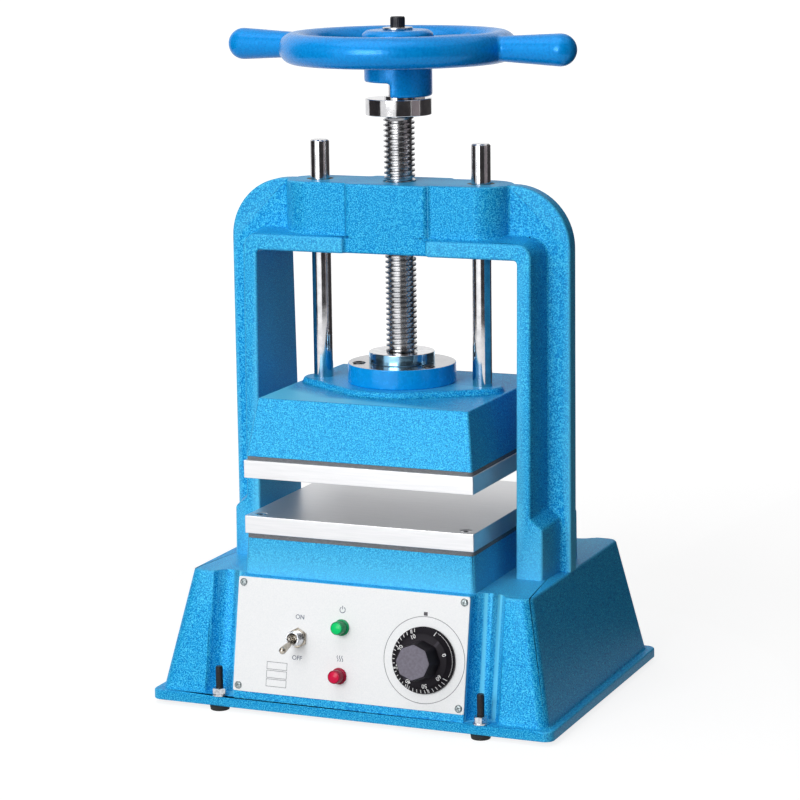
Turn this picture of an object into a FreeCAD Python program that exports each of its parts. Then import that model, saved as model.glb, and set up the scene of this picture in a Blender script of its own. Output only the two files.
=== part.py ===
import math
import os

import FreeCAD
import Part

# Bench vulcanizing press for rubber moulds. Millimetres, +Z up, front towards -Y.
# The origin is on the screw axis, at the height of the table under the rubber feet.

# heights of the stack, from the table up
foot_height = 3.5
flange_thick = 8.0
base_height = 96.6
lower_housing_height = 29.3
gasket_thick = 3.7
platen_thick = 14.4
daylight = 31.0
upper_gasket_thick = 3.0
upper_housing_height = 45.8
pad_height = 4.9
retainer_thick = 16.0
ring_thick = 9.0
window_height = 253.4
crosshead_height = 55.9
thread_length = 207.2
collar_thick = 13.2
hub_drop = 40.6

flange_bottom = foot_height
flange_top = flange_bottom + flange_thick
deck_height = flange_top + base_height
lower_gasket_bottom = deck_height + lower_housing_height
lower_platen_bottom = lower_gasket_bottom + gasket_thick
lower_platen_top = lower_platen_bottom + platen_thick
upper_platen_bottom = lower_platen_top + daylight
upper_platen_top = upper_platen_bottom + platen_thick
upper_housing_bottom = upper_platen_top + upper_gasket_thick
upper_housing_top = upper_housing_bottom + upper_housing_height
pad_top = upper_housing_top + pad_height
retainer_top = pad_top + retainer_thick
ring_top = retainer_top + ring_thick
window_top = deck_height + window_height
arch_top = window_top + crosshead_height

# platens, their housings and the cavities that hold the heaters
platen_half_x = 98.3
platen_half_y = 95.3
platen_screw_inset = 10.0
platen_screw_length = 30.0
platen_screw_x = platen_half_x - platen_screw_inset
platen_screw_y = platen_half_y - platen_screw_inset
lower_top_x = platen_half_x - 0.7
lower_top_y = platen_half_y - 1.3
lower_bottom_x = lower_top_x + 1.6
lower_bottom_y = lower_top_y + 2.0
upper_bottom_x = platen_half_x - 1.4
upper_bottom_y = platen_half_y - 1.8
upper_top_x = upper_bottom_x - 6.6
upper_top_y = upper_bottom_y - 10.0
cavity_rim = 19.3
cavity_half_x = platen_half_x - cavity_rim
cavity_half_y = platen_half_y - cavity_rim
cavity_floor = 8.0
cavity_corner = 6.0
upper_cavity_depth = 26.0
heater_thick = 8.0
lower_insulation_thick = 9.5
upper_insulation_thick = 12.0
housing_bolt_x = 40.0
housing_bolt_y = 60.0
housing_bolt_radius = 3.0
housing_bolt_flats = 10.0
housing_bolt_head = 4.0

# arch casting
leg_clearance = 13.9
leg_depth = 34.8
window_half = platen_half_x + leg_clearance
web_half = window_half + leg_depth
web_half_thick = 7.0
arch_bolt_radius = 4.0
arch_bolt_reach = 24.0
arch_bolt_flats = 13.0
arch_bolt_head = 5.3
arch_washer_thick = 1.6
web_corner_radius = 49.3
rim_thick = 11.8
rim_root_extra = 4.8
rim_root_rise = 4.2
rim_top_thick = 12.7
rim_corner = 11.0
rim_front_top = 34.8
rim_front_bottom = 39.5
rim_back_top = 37.2
rim_back_bottom = 45.5
pad_extra = 10.4
pad_rise = 40.1
pad_slope = 8.4
centre_boss_half = 36.0
centre_boss_front = 31.3
centre_boss_back = 33.0
guide_boss_radius = 27.0

# base casting
deck_half = web_half - 1.0
deck_front = -lower_bottom_y - 2.6
deck_back = lower_bottom_y + 20.8
spread_side = 26.4
spread_front = 25.4
spread_back = 23.0
flange_half = deck_half + spread_side
flange_front = deck_front - spread_front
flange_back = deck_back + spread_back
foot_rim = 5.9
base_wall = 7.0
deck_thick = 8.0
flute_radius = 14.0
stud_x = deck_half - 33.4
stud_front = flange_front + 4.5
stud_back = flange_back - 6.5
stud_radius = 3.0
stud_fit = 0.3
foot_radius = 8.2
cover_thick = 1.2
cover_ledge = 3.0
cover_screw_inset = 5.5

# sloping control panel, from a point near the flange's edge up to the deck
panel_setback = 0.6
panel_proud = 7.28
panel_bottom_gap = 6.4
panel_thick = 1.5
panel_rise = base_height
panel_run = (deck_front - panel_proud) - (flange_front + panel_setback)
panel_lean = math.degrees(math.atan(panel_run / panel_rise))
panel_half_height = (math.hypot(panel_run, panel_rise) - panel_bottom_gap) / 2
panel_half_width = stud_x - flute_radius + 0.8
panel_middle_z = deck_height - panel_half_height * math.cos(math.radians(panel_lean))
panel_middle_y = deck_front - panel_proud - panel_half_height * math.sin(math.radians(panel_lean))
panel_screw_inset = 4.5
panel_screw_radius = 1.5
panel_opening_rim = 12.5
toggle_u = 54.6 - panel_half_width
toggle_v = 1.0
toggle_pivot = 5.0
toggle_tilt = 19.0
switch_neck = 5.9
lamp_u = -7.6
green_v = panel_half_height - 33.3
red_v = 20.0 - panel_half_height
lamp_radius = 5.4
lamp_length = 11.4
lamp_crown = 1.2
lamp_depth = 24.0
switch_depth = 22.0
switch_half_width = 7.0
switch_half_height = 14.0
lever_length = 24.5
lever_root_radius = 1.6
lever_tip_radius = 2.9
lever_pin_radius = 0.8
lever_pin_half = 4.4
thermostat_depth = 32.0
thermostat_half_width = 17.0
thermostat_half_height = 20.0
dial_u = panel_half_width - 35.4
dial_v = -6.4
dial_shaft_radius = 3.0
dial_shaft_in = 19.0
skirt_radius = 26.3
skirt_bottom = 0.6
skirt_thick = 5.6
knob_length = 24.3
fit = 0.06

# holes for the leads and the thermostat's bulb
bulb_x = -60.0
bulb_radius = 3.0
bulb_tube_y = cavity_half_y - 13.0
bulb_length = 43.0
bulb_tube_radius = 1.2
bulb_tube_drop = 18.0
terminal_half_length = 30.0
terminal_front = 62.0
terminal_depth = 22.0
terminal_height = 14.0
terminal_pitch = 10.0
bulb_hole_radius = 5.2
lead_x = 60.0
deck_lead_y = deck_back - 11.3
housing_lead_rise = 9.0
housing_lead_z = upper_housing_bottom + housing_lead_rise
grommet_radius = 5.0
grommet_lip = 2.5
inlet_x = -96.0
inlet_z = flange_top + 33.5
inlet_hole_radius = 6.3
inlet_boot = 17.96

# guides and screw
rod_inset = 20.45
rod_spacing = 2 * (upper_top_x - rod_inset)
rod_radius = 7.94
rod_stickout = 31.8
rod_seat_depth = 18.0
bushing_wall = 3.0
rod_fit = 0.06
screw_radius = 12.7
screw_fit = 0.06
spindle_radius = 8.0
nut_radius = screw_radius + 6.3
nut_shoulder = 4.0

# retainer on the upper housing
retainer_radius = 44.0
ring_radius = 26.8
neck_radius = screw_radius + 3.3
pad_radius = 57.0
pad_lobe_radius = 17.0
thrust_radius = 20.0
thrust_thick = 3.0
screw_foot_thick = 8.8
retainer_screw_circle = 35.0
retainer_screw_angles = (-150.0, -30.0, 90.0)

# collar and hand wheel
collar_radius = 26.8
hub_radius = 27.2
hub_cap_radius = 28.6
hub_rise = 13.4
rim_radius = 82.5
rim_section = 12.5
spoke_half_width = 10.5
spoke_half_height = 7.0
handle_root = 9.8
handle_swell = 12.9
handle_end = 155.0
handle_angle = -5.0
hub_gap = 13.1
hub_dog_start = -82.0
hub_dog_end = 38.0
collar_dog_start = 60.0
collar_dog_end = 110.0
dog_gap = 1.6
pin_radius = 2.5
cap_screw_radius = 3.9
collar_bottom = pad_top + screw_foot_thick + thread_length
collar_top = collar_bottom + collar_thick
wheel_height = collar_top + hub_drop


def vec(x, y, z):
    return FreeCAD.Vector(x, y, z)


def block(x0, x1, y0, y1, z0, z1):
    return Part.makeBox(x1 - x0, y1 - y0, z1 - z0, vec(x0, y0, z0))


def rod(radius, x, y, z0, z1):
    return Part.makeCylinder(radius, z1 - z0, vec(x, y, z0), vec(0, 0, 1))


def rod_between(radius, start, end):
    along = end.sub(start)
    return Part.makeCylinder(radius, along.Length, start, along)


def cone(r0, r1, x, y, z0, z1):
    return Part.makeCone(r0, r1, z1 - z0, vec(x, y, z0), vec(0, 0, 1))


def hexagon(across_flats, x, y, z0, z1):
    r = across_flats / math.sqrt(3.0)
    corners = []
    for k in range(7):
        a = math.radians(60.0 * k + 30.0)
        corners.append(vec(x + r * math.cos(a), y + r * math.sin(a), z0))
    return Part.Face(Part.makePolygon(corners)).extrude(vec(0, 0, z1 - z0))


def rounded_wire(x0, x1, y0, y1, r, z):
    """Rectangle with rounded corners, lying flat at height z."""
    q = r * math.sqrt(0.5)
    corners = (
        (x1 - r, y0 + r, -45, (x1 - r, y0), (x1, y0 + r)),
        (x1 - r, y1 - r, 45, (x1, y1 - r), (x1 - r, y1)),
        (x0 + r, y1 - r, 135, (x0 + r, y1), (x0, y1 - r)),
        (x0 + r, y0 + r, 225, (x0, y0 + r), (x0 + r, y0)),
    )
    edges = []
    last = None
    first = None
    for cx, cy, angle, a, b in corners:
        mid = vec(cx + q * math.copysign(1, math.cos(math.radians(angle))),
                  cy + q * math.copysign(1, math.sin(math.radians(angle))), z)
        start = vec(a[0], a[1], z)
        end = vec(b[0], b[1], z)
        if last is not None:
            edges.append(Part.makeLine(last, start))
        else:
            first = start
        edges.append(Part.Arc(start, mid, end).toShape())
        last = end
    edges.append(Part.makeLine(last, first))
    return Part.Wire(edges)


def rounded_block(x0, x1, y0, y1, r, z0, z1):
    return Part.Face(rounded_wire(x0, x1, y0, y1, r, z0)).extrude(vec(0, 0, z1 - z0))


def tapered_block(low, high, r0, r1, z0, z1):
    """Frustum between two rounded rectangles given as (x0, x1, y0, y1)."""
    a = rounded_wire(low[0], low[1], low[2], low[3], r0, z0)
    b = rounded_wire(high[0], high[1], high[2], high[3], r1, z1)
    return Part.makeLoft([a, b], True, True)


def sector(radius, start, end, z0, z1):
    solid = Part.makeCylinder(radius, z1 - z0, vec(0, 0, z0), vec(0, 0, 1), end - start)
    solid.rotate(vec(0, 0, 0), vec(0, 0, 1), start)
    return solid


def polygon_prism(points, along):
    points = list(points)
    return Part.Face(Part.makePolygon(points + [points[0]])).extrude(along)


def joined(shapes):
    shapes = list(shapes)
    whole = shapes[0]
    if len(shapes) > 1:
        whole = shapes[0].multiFuse(shapes[1:])
    return whole.removeSplitter()


def group(shapes):
    return Part.makeCompound(list(shapes))


def four(x, y_front, y_back):
    return [(sx * x, y) for y in (y_front, y_back) for sx in (-1, 1)]


def on_panel(shape):
    """Move a shape drawn flat (u right, v up, w out) onto the leaning panel face."""
    placed = shape.copy()
    placed.rotate(vec(0, 0, 0), vec(1, 0, 0), 90.0 - panel_lean)
    placed.translate(vec(0, panel_middle_y, panel_middle_z))
    return placed


# base: a hollow casting with leaning sides, a flute at each corner for the foot studs

def flute(x, y_low, y_high, radius):
    """A leaning cylinder that runs a little past the flange and past the deck."""
    drift = (y_high - y_low) / base_height
    low = vec(x, y_low - 5 * drift, flange_top - 5)
    high = vec(x, y_high + 10 * drift, deck_height + 10)
    return rod_between(radius, low, high)


def flutes(radius):
    lean_front = deck_front - 4.4
    lean_back = deck_back + 4.4
    out = []
    for sx in (-1, 1):
        out.append(flute(sx * stud_x, stud_front, lean_front, radius))
        out.append(flute(sx * stud_x, stud_back, lean_back, radius))
    return out


def base_casting():
    low = (-flange_half + foot_rim, flange_half - foot_rim, flange_front + foot_rim, flange_back - foot_rim)
    high = (-deck_half, deck_half, deck_front, deck_back)
    body = tapered_block(low, high, 9.0, 9.0, flange_top, deck_height)
    lean = math.tan(math.radians(panel_lean))
    behind = panel_thick / math.cos(math.radians(panel_lean))
    top_y = panel_middle_y + (deck_height - panel_middle_z) * lean + behind
    low_y = panel_middle_y + (flange_top - panel_middle_z) * lean + behind
    behind_y = deck_front + 18.6
    wedge = polygon_prism((
        vec(-panel_half_width - 0.6, top_y, deck_height),
        vec(-panel_half_width - 0.6, low_y, flange_top),
        vec(-panel_half_width - 0.6, behind_y, flange_top),
        vec(-panel_half_width - 0.6, behind_y, deck_height)),
        vec(2 * panel_half_width + 1.2, 0, 0))
    body = body.fuse(wedge)
    body = body.cut(group(flutes(flute_radius)))
    flange = rounded_block(-flange_half, flange_half, flange_front, flange_back, 8.0, flange_bottom, flange_top)
    body = body.fuse(flange)
    body = body.cut(base_hollow(low, high))
    bosses = [rod(cover_screw_inset + 1, x, y, flange_bottom, flange_top + 8) for x, y in cover_screw_spots()]
    body = body.fuse(group(bosses))
    cuts = []
    for x, y in four(stud_x, stud_front, stud_back):
        cuts.append(rod(stud_radius + stud_fit, x, y, flange_bottom - 1, flange_top + 1))
    cuts += [rod(arch_bolt_radius + 0.5, x, y, deck_height - deck_thick - 1, deck_height + 1)
             for x, y in arch_bolt_spots()]
    cuts += [rod(housing_bolt_radius + 0.4, x, y, deck_height - deck_thick - 1, deck_height + 1)
             for x, y in housing_bolt_spots()]
    cuts.append(rod(bulb_hole_radius, bulb_x, bulb_tube_y, deck_height - deck_thick - 1, deck_height + 1))
    cuts.append(rod(grommet_radius, lead_x, deck_lead_y, deck_height - deck_thick - 1, deck_height + 1))
    cuts.append(on_panel(panel_opening()))
    for u, v in panel_screw_spots():
        cuts.append(on_panel(rod(panel_screw_radius + 0.1, u, v, -7.5, 1)))
    cuts.append(rod_between(inlet_hole_radius, vec(inlet_x, flange_back - 40, inlet_z),
                            vec(inlet_x, flange_back + 10, inlet_z)))
    cuts.append(cover_outline(0.0).extrude(vec(0, 0, cover_thick + 1.1)))
    cuts += [rod(1.6, x, y, flange_bottom, flange_top - 1) for x, y in cover_screw_spots()]
    return body.cut(group(cuts)).removeSplitter()


def base_hollow(low, high):
    """The room inside the casting, less the columns behind the four flutes."""
    w = base_wall
    inner_low = (low[0] + w, low[1] - w, low[2] + w, low[3] - w)
    inner_high = (high[0] + w, high[1] - w, high[2] + w, high[3] - w)
    under_deck = deck_height - deck_thick
    hollow = tapered_block(inner_low, inner_high, 6.0, 6.0, flange_bottom, under_deck)
    columns = [rod(flute_radius + w - 2, x, y, flange_bottom - 1, under_deck + 1)
               for x, y in four(stud_x, stud_front, stud_back)]
    return hollow.cut(group(flutes(flute_radius + w - 2) + columns))


def panel_opening():
    """Window in the front wall, behind the panel, that the switch, lamps and thermostat hang in."""
    x = panel_half_width - panel_opening_rim
    y = panel_half_height - panel_opening_rim
    return rounded_block(-x, x, -y, y, 4.0, -30, 1)


def cover_outline(play):
    """Flat outline of the bottom cover or, with no play, of the rebate that it lies in."""
    edge = foot_rim + base_wall - cover_ledge + play
    x = flange_half - edge
    z = flange_bottom - 1 if play == 0.0 else flange_bottom + 0.1
    face = Part.Face(rounded_wire(-x, x, flange_front + edge, flange_back - edge, 6.0, z))
    corners = [rod(flute_radius + base_wall - 2 + play, px, py, z - 5, z + 5)
               for px, py in four(stud_x, stud_front, stud_back)]
    return face.cut(group(corners))


def arch_bolt_spots():
    x = window_half + (rim_thick + pad_extra) / 2
    return [(sx * x, y) for sx in (-1, 1) for y in (13.5 - rim_front_bottom, rim_back_bottom - 15.5)]


def housing_bolt_spots():
    return four(housing_bolt_x, -housing_bolt_y, housing_bolt_y)


def panel_screw_spots():
    u = panel_half_width - panel_screw_inset
    v = panel_half_height - panel_screw_inset
    return [(su * u, sv * v) for su in (-1, 1) for sv in (-1, 1)]


def cover_screw_spots():
    x = flange_half - foot_rim - base_wall - cover_screw_inset
    return [(sx * x, y) for sx in (-1, 1) for y in (flange_front + 54, flange_back - 54)]


def bottom_cover():
    plate = cover_outline(0.4).extrude(vec(0, 0, cover_thick))
    holes = [rod(1.9, px, py, flange_bottom - 1, flange_top) for px, py in cover_screw_spots()]
    return plate.cut(group(holes))


def cover_screws():
    out = []
    for x, y in cover_screw_spots():
        head = rod(2.9, x, y, flange_bottom - 1.8, flange_bottom + 0.1)
        shank = rod(1.5, x, y, flange_bottom + 0.1, flange_top - 2)
        out.append(head.fuse(shank))
    return group(out)


def rubber_feet():
    out = []
    for x, y in four(stud_x, stud_front, stud_back):
        foot = rod(foot_radius, x, y, 0, foot_height)
        out.append(foot.cut(rod(stud_radius + 0.02, x, y, 1.2, foot_height + 1)))
    return group(out)


def foot_studs():
    return group(rod(stud_radius, x, y, 1.2, flange_top + 24.1) for x, y in four(stud_x, stud_front, stud_back))


def foot_washers():
    out = []
    for x, y in four(stud_x, stud_front, stud_back):
        hole = rod(stud_radius + 0.2, x, y, flange_top - 1, flange_top + 2)
        out.append(rod(6.3, x, y, flange_top, flange_top + 1.2).cut(hole))
    return group(out)


def foot_nuts():
    out = []
    for x, y in four(stud_x, stud_front, stud_back):
        z = flange_top + 1.2
        out.append(hexagon(10.0, x, y, z, z + 5.2).cut(rod(stud_radius + 0.02, x, y, z - 1, z + 7)))
    return group(out)


# control panel and what is fixed to it, drawn flat and then leaned

def control_panel():
    plate = rounded_block(-panel_half_width, panel_half_width, -panel_half_height, panel_half_height,
                          1.5, -panel_thick, 0)
    cuts = [rod(panel_screw_radius + 0.5, u, v, -3, 1) for u, v in panel_screw_spots()]
    cuts.append(rod(switch_neck + 0.2, toggle_u, toggle_v, -3, 1))
    cuts += [rod(lamp_radius + 0.2, lamp_u, v, -3, 1) for v in (green_v, red_v)]
    cuts.append(rod(dial_shaft_radius + 2.2, dial_u, dial_v, -3, 1))
    return on_panel(plate.cut(group(cuts)))


def panel_screws():
    out = []
    for u, v in panel_screw_spots():
        head = Part.makeSphere(4.2, vec(u, v, -2.6)).common(rod(3.2, u, v, 0, 3))
        out.append(head.fuse(rod(panel_screw_radius, u, v, -7, 0)).removeSplitter())
    return on_panel(group(out))


def switch_body():
    """Switch case behind the panel, with the threaded neck that the lever stands in."""
    body = block(toggle_u - switch_half_width, toggle_u + switch_half_width,
                 toggle_v - switch_half_height, toggle_v + switch_half_height, -switch_depth, -panel_thick)
    neck = rod(switch_neck, toggle_u, toggle_v, -panel_thick, 11.4)
    bore = cone(2.6, 4.6, toggle_u, toggle_v, toggle_pivot, 11.5)
    seat = Part.makeSphere(3.45, vec(toggle_u, toggle_v, toggle_pivot))
    pin = lever_pin(lever_pin_radius + 0.1, lever_pin_half + 0.2)
    return on_panel(joined([body, neck]).cut(joined([bore, seat, pin])))


def lever_pin(radius, half):
    """Cross pin that the lever rocks on."""
    return rod_between(radius, vec(toggle_u - half, toggle_v, toggle_pivot),
                       vec(toggle_u + half, toggle_v, toggle_pivot))


def switch_nut():
    nut = hexagon(14.3, toggle_u, toggle_v, 0, 2.2)
    return on_panel(nut.cut(rod(switch_neck + 0.05, toggle_u, toggle_v, -1, 4)))


def toggle_lever():
    ball = Part.makeSphere(3.3, vec(toggle_u, toggle_v, toggle_pivot))
    end = toggle_pivot + lever_length
    bat = cone(lever_root_radius, lever_tip_radius, toggle_u, toggle_v, toggle_pivot, end)
    tip = Part.makeSphere(lever_tip_radius, vec(toggle_u, toggle_v, end))
    lever = joined([ball, bat, tip, lever_pin(lever_pin_radius, lever_pin_half)])
    lever.rotate(vec(toggle_u, toggle_v, toggle_pivot), vec(1, 0, 0), toggle_tilt)
    return on_panel(lever)


def lamp_bezels():
    out = []
    for v in (green_v, red_v):
        ring = cone(lamp_radius + 1.2, lamp_radius + 0.8, lamp_u, v, 0, 1.6)
        out.append(ring.cut(rod(lamp_radius + 0.05, lamp_u, v, -1, 4)))
    return on_panel(group(out))


def lamp_lens(v):
    shoulder = lamp_length - lamp_crown
    barrel = rod(lamp_radius, lamp_u, v, 0.1, shoulder)
    curve = (lamp_radius ** 2 + lamp_crown ** 2) / (2 * lamp_crown)
    dome = Part.makeSphere(curve, vec(lamp_u, v, lamp_length - curve))
    dome = dome.common(rod(lamp_radius, lamp_u, v, shoulder, lamp_length + 1))
    return on_panel(joined([barrel, dome]))


def lamp_bodies():
    return on_panel(group(rod(lamp_radius, lamp_u, v, -lamp_depth, 0) for v in (green_v, red_v)))


def thermostat_body():
    case = block(dial_u - thermostat_half_width, dial_u + thermostat_half_width,
                 dial_v - thermostat_half_height, dial_v + thermostat_half_height,
                 -thermostat_depth, -panel_thick)
    neck = rod(dial_shaft_radius + 2, dial_u, dial_v, -panel_thick, 0)
    bore = rod(dial_shaft_radius + fit, dial_u, dial_v, -dial_shaft_in - 1, 1)
    return on_panel(joined([case, neck]).cut(bore))


def dial_shaft():
    return on_panel(rod(dial_shaft_radius, dial_u, dial_v, -dial_shaft_in, knob_length - 5.3))


def dial_skirt():
    disc = rod(skirt_radius, dial_u, dial_v, skirt_bottom, skirt_bottom + 2)
    dish = cone(skirt_radius, skirt_radius - 5.3, dial_u, dial_v, skirt_bottom + 2, skirt_bottom + skirt_thick)
    hole = rod(dial_shaft_radius + 0.02, dial_u, dial_v, -1, skirt_bottom + skirt_thick + 2)
    return on_panel(joined([disc, dish]).cut(hole))


def knob_grip():
    low = octagon(15.2, skirt_bottom + skirt_thick)
    high = octagon(13.4, knob_length)
    grip = Part.makeLoft([low, high], True, True)
    return on_panel(grip.cut(rod(dial_shaft_radius + 0.02, dial_u, dial_v, 0, knob_length - 5.2)))


def octagon(half_flat, w):
    r = half_flat / math.cos(math.radians(22.5))
    corners = []
    for k in range(9):
        a = math.radians(45.0 * k + 22.5)
        corners.append(vec(dial_u + r * math.cos(a), dial_v + r * math.sin(a), w))
    return Part.makePolygon(corners)


def thermostat_bulb():
    """Sensing bulb in the lower housing and the thin tube that runs up to it through the deck."""
    z = lower_platen_bottom - heater_thick - bulb_radius - 0.5
    bulb = rod_between(bulb_radius, vec(bulb_x, bulb_tube_y - bulb_length, z), vec(bulb_x, bulb_tube_y + 3, z))
    tube = rod_between(bulb_tube_radius, vec(bulb_x, bulb_tube_y, deck_height - deck_thick - bulb_tube_drop),
                       vec(bulb_x, bulb_tube_y, z))
    return joined([bulb, tube])


def grommet(inner_z, outer_z, flange_z):
    """Rubber ring that lines a lead hole, drawn upright round the +Z axis."""
    neck = rod(grommet_radius - 0.05, 0, 0, inner_z, outer_z)
    lip = rod(grommet_radius + grommet_lip, 0, 0, outer_z, flange_z)
    return joined([neck, lip]).cut(rod(2.6, 0, 0, inner_z - 1, flange_z + 1))


def deck_grommet():
    ring = grommet(-deck_thick, 0, 2.4)
    ring.translate(vec(lead_x, deck_lead_y, deck_height))
    return ring


def housing_grommet():
    ring = grommet(cavity_half_y + 0.8 - back_wall_y(), 0, 2.4)
    return out_of_housing(ring)


def out_of_housing(shape):
    """Turn a shape drawn round +Z so that it points out of the upper housing's back wall."""
    lean = math.degrees(math.atan((upper_bottom_y - upper_top_y) / upper_housing_height))
    placed = shape.copy()
    placed.rotate(vec(0, 0, 0), vec(1, 0, 0), lean - 90)
    placed.translate(vec(lead_x, back_wall_y(), housing_lead_z))
    return placed


def back_wall_y():
    share = (housing_lead_z - upper_housing_bottom) / upper_housing_height
    return upper_bottom_y + (upper_top_y - upper_bottom_y) * share


def terminal_block():
    z = deck_height - deck_thick
    back = terminal_front + terminal_depth
    low = z - terminal_height
    body = block(-terminal_half_length, terminal_half_length, terminal_front, back, low, z)
    slots = [block(k * terminal_pitch - 1, k * terminal_pitch + 1, terminal_front - 1, back + 1,
                   low - 1, z - terminal_height * 0.4) for k in (-2, -1, 0, 1, 2)]
    return body.cut(group(slots))


def inlet_gland():
    """Rubber boot in the mains hole of the back wall, drawn out to keep a lead from bending sharply."""
    wall_y = wall_at(inlet_z)
    front = vec(inlet_x, wall_y - base_wall - 2, inlet_z)
    middle = vec(inlet_x, wall_y, inlet_z)
    outer = Part.makeCone(inlet_hole_radius + 3.0, inlet_hole_radius, inlet_boot + 2.5,
                          vec(inlet_x, wall_y - 2.5, inlet_z), vec(0, 1, 0))
    neck = rod_between(inlet_hole_radius - 0.05, front, middle)
    hole = rod_between(3.6, vec(inlet_x, wall_y - 40, inlet_z), vec(inlet_x, wall_y + 40, inlet_z))
    shell = tapered_back_wall()
    return joined([outer.cut(shell), neck]).cut(hole)


def wall_at(z):
    low = flange_back - foot_rim
    share = (z - flange_top) / (deck_height - flange_top)
    return low + (deck_back - low) * share


def tapered_back_wall():
    """The half space inside the leaning back wall, to trim what sits on it."""
    return polygon_prism((
        vec(-flange_half, wall_at(flange_top), flange_top),
        vec(-flange_half, wall_at(deck_height), deck_height),
        vec(-flange_half, 0, deck_height),
        vec(-flange_half, 0, flange_top)),
        vec(2 * flange_half, 0, 0))


# lower platen stack

def lower_housing():
    body = tapered_block((-lower_bottom_x, lower_bottom_x, -lower_bottom_y, lower_bottom_y),
                         (-lower_top_x, lower_top_x, -lower_top_y, lower_top_y),
                         4.0, 4.0, deck_height, lower_gasket_bottom)
    hollow = rounded_block(-cavity_half_x, cavity_half_x, -cavity_half_y, cavity_half_y, cavity_corner,
                           deck_height + cavity_floor, lower_gasket_bottom + 1)
    cuts = [hollow]
    cuts += [rod(2.55, x, y, lower_platen_top - platen_screw_length - 1, lower_gasket_bottom + 1)
             for x, y in four(platen_screw_x, -platen_screw_y, platen_screw_y)]
    cuts += [rod(housing_bolt_radius + 0.05, x, y, deck_height - 1, deck_height + cavity_floor - 2)
             for x, y in housing_bolt_spots()]
    cuts.append(rod(bulb_hole_radius, bulb_x, bulb_tube_y, deck_height - 1, deck_height + cavity_floor + 1))
    return body.cut(group(cuts))


def lower_housing_bolts():
    z = deck_height - deck_thick
    out = []
    for x, y in housing_bolt_spots():
        head = hexagon(housing_bolt_flats, x, y, z - housing_bolt_head, z)
        shank = rod(housing_bolt_radius, x, y, z, deck_height + cavity_floor - 2.2)
        out.append(head.fuse(shank).removeSplitter())
    return group(out)


def cavity_block(play, z0, z1):
    x = cavity_half_x - play
    y = cavity_half_y - play
    return rounded_block(-x, x, -y, y, cavity_corner, z0, z1)


def lower_insulation():
    z = deck_height + cavity_floor
    slab = cavity_block(1.0, z, z + lower_insulation_thick)
    return slab.cut(rod(bulb_hole_radius, bulb_x, bulb_tube_y, z - 1, z + lower_insulation_thick + 1))


def lower_heater():
    return cavity_block(4.0, lower_platen_bottom - heater_thick, lower_platen_bottom)


def gasket(half_x, half_y, z0, z1):
    ring = rounded_block(-half_x, half_x, -half_y, half_y, 4.0, z0, z1)
    inner = cavity_block(0.0, z0 - 1, z1 + 1)
    holes = [rod(2.8, x, y, z0 - 1, z1 + 1) for x, y in four(platen_screw_x, -platen_screw_y, platen_screw_y)]
    return ring.cut(group([inner] + holes))


def platen(z0, z1, head_z, tail_z):
    slab = block(-platen_half_x, platen_half_x, -platen_half_y, platen_half_y, z0, z1)
    cuts = []
    for x, y in four(platen_screw_x, -platen_screw_y, platen_screw_y):
        cuts.append(rod(2.8, x, y, z0 - 1, z1 + 1))
        cuts.append(csink_cone(x, y, head_z, tail_z, 0.1))
    return slab.cut(group(cuts))


def csink_cone(x, y, head_z, tail_z, slack):
    depth = 2.7
    if tail_z < head_z:
        return Part.makeCone(2.5 + slack, 5.2 + slack, depth, vec(x, y, head_z - depth), vec(0, 0, 1))
    return Part.makeCone(5.2 + slack, 2.5 + slack, depth, vec(x, y, head_z), vec(0, 0, 1))


def platen_screws(head_z, tail_z):
    out = []
    for x, y in four(platen_screw_x, -platen_screw_y, platen_screw_y):
        head = csink_cone(x, y, head_z, tail_z, 0.0)
        low = min(head_z, tail_z) + 0.05
        high = max(head_z, tail_z) - 0.05
        socket = hexagon(3.0, x, y, head_z - 1.8, head_z + 1.8)
        out.append(joined([head, rod(2.5, x, y, low, high)]).cut(socket))
    return group(out)


# arch casting

def arch_web():
    top = arch_top
    r = web_corner_radius
    points = []
    points.append(vec(-web_half, -web_half_thick, deck_height))
    points.append(vec(-web_half, -web_half_thick, top - r))
    left = Part.Arc(vec(-web_half, -web_half_thick, top - r),
                    vec(-web_half + r - r * math.sqrt(0.5), -web_half_thick, top - r + r * math.sqrt(0.5)),
                    vec(-web_half + r, -web_half_thick, top)).toShape()
    right = Part.Arc(vec(web_half - r, -web_half_thick, top),
                     vec(web_half - r + r * math.sqrt(0.5), -web_half_thick, top - r + r * math.sqrt(0.5)),
                     vec(web_half, -web_half_thick, top - r)).toShape()
    wire = Part.Wire([
        Part.makeLine(points[0], points[1]),
        left,
        Part.makeLine(vec(-web_half + r, -web_half_thick, top), vec(web_half - r, -web_half_thick, top)),
        right,
        Part.makeLine(vec(web_half, -web_half_thick, top - r), vec(web_half, -web_half_thick, deck_height)),
        Part.makeLine(vec(web_half, -web_half_thick, deck_height), points[0])])
    return Part.Face(wire).extrude(vec(0, 2 * web_half_thick, 0))


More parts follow.
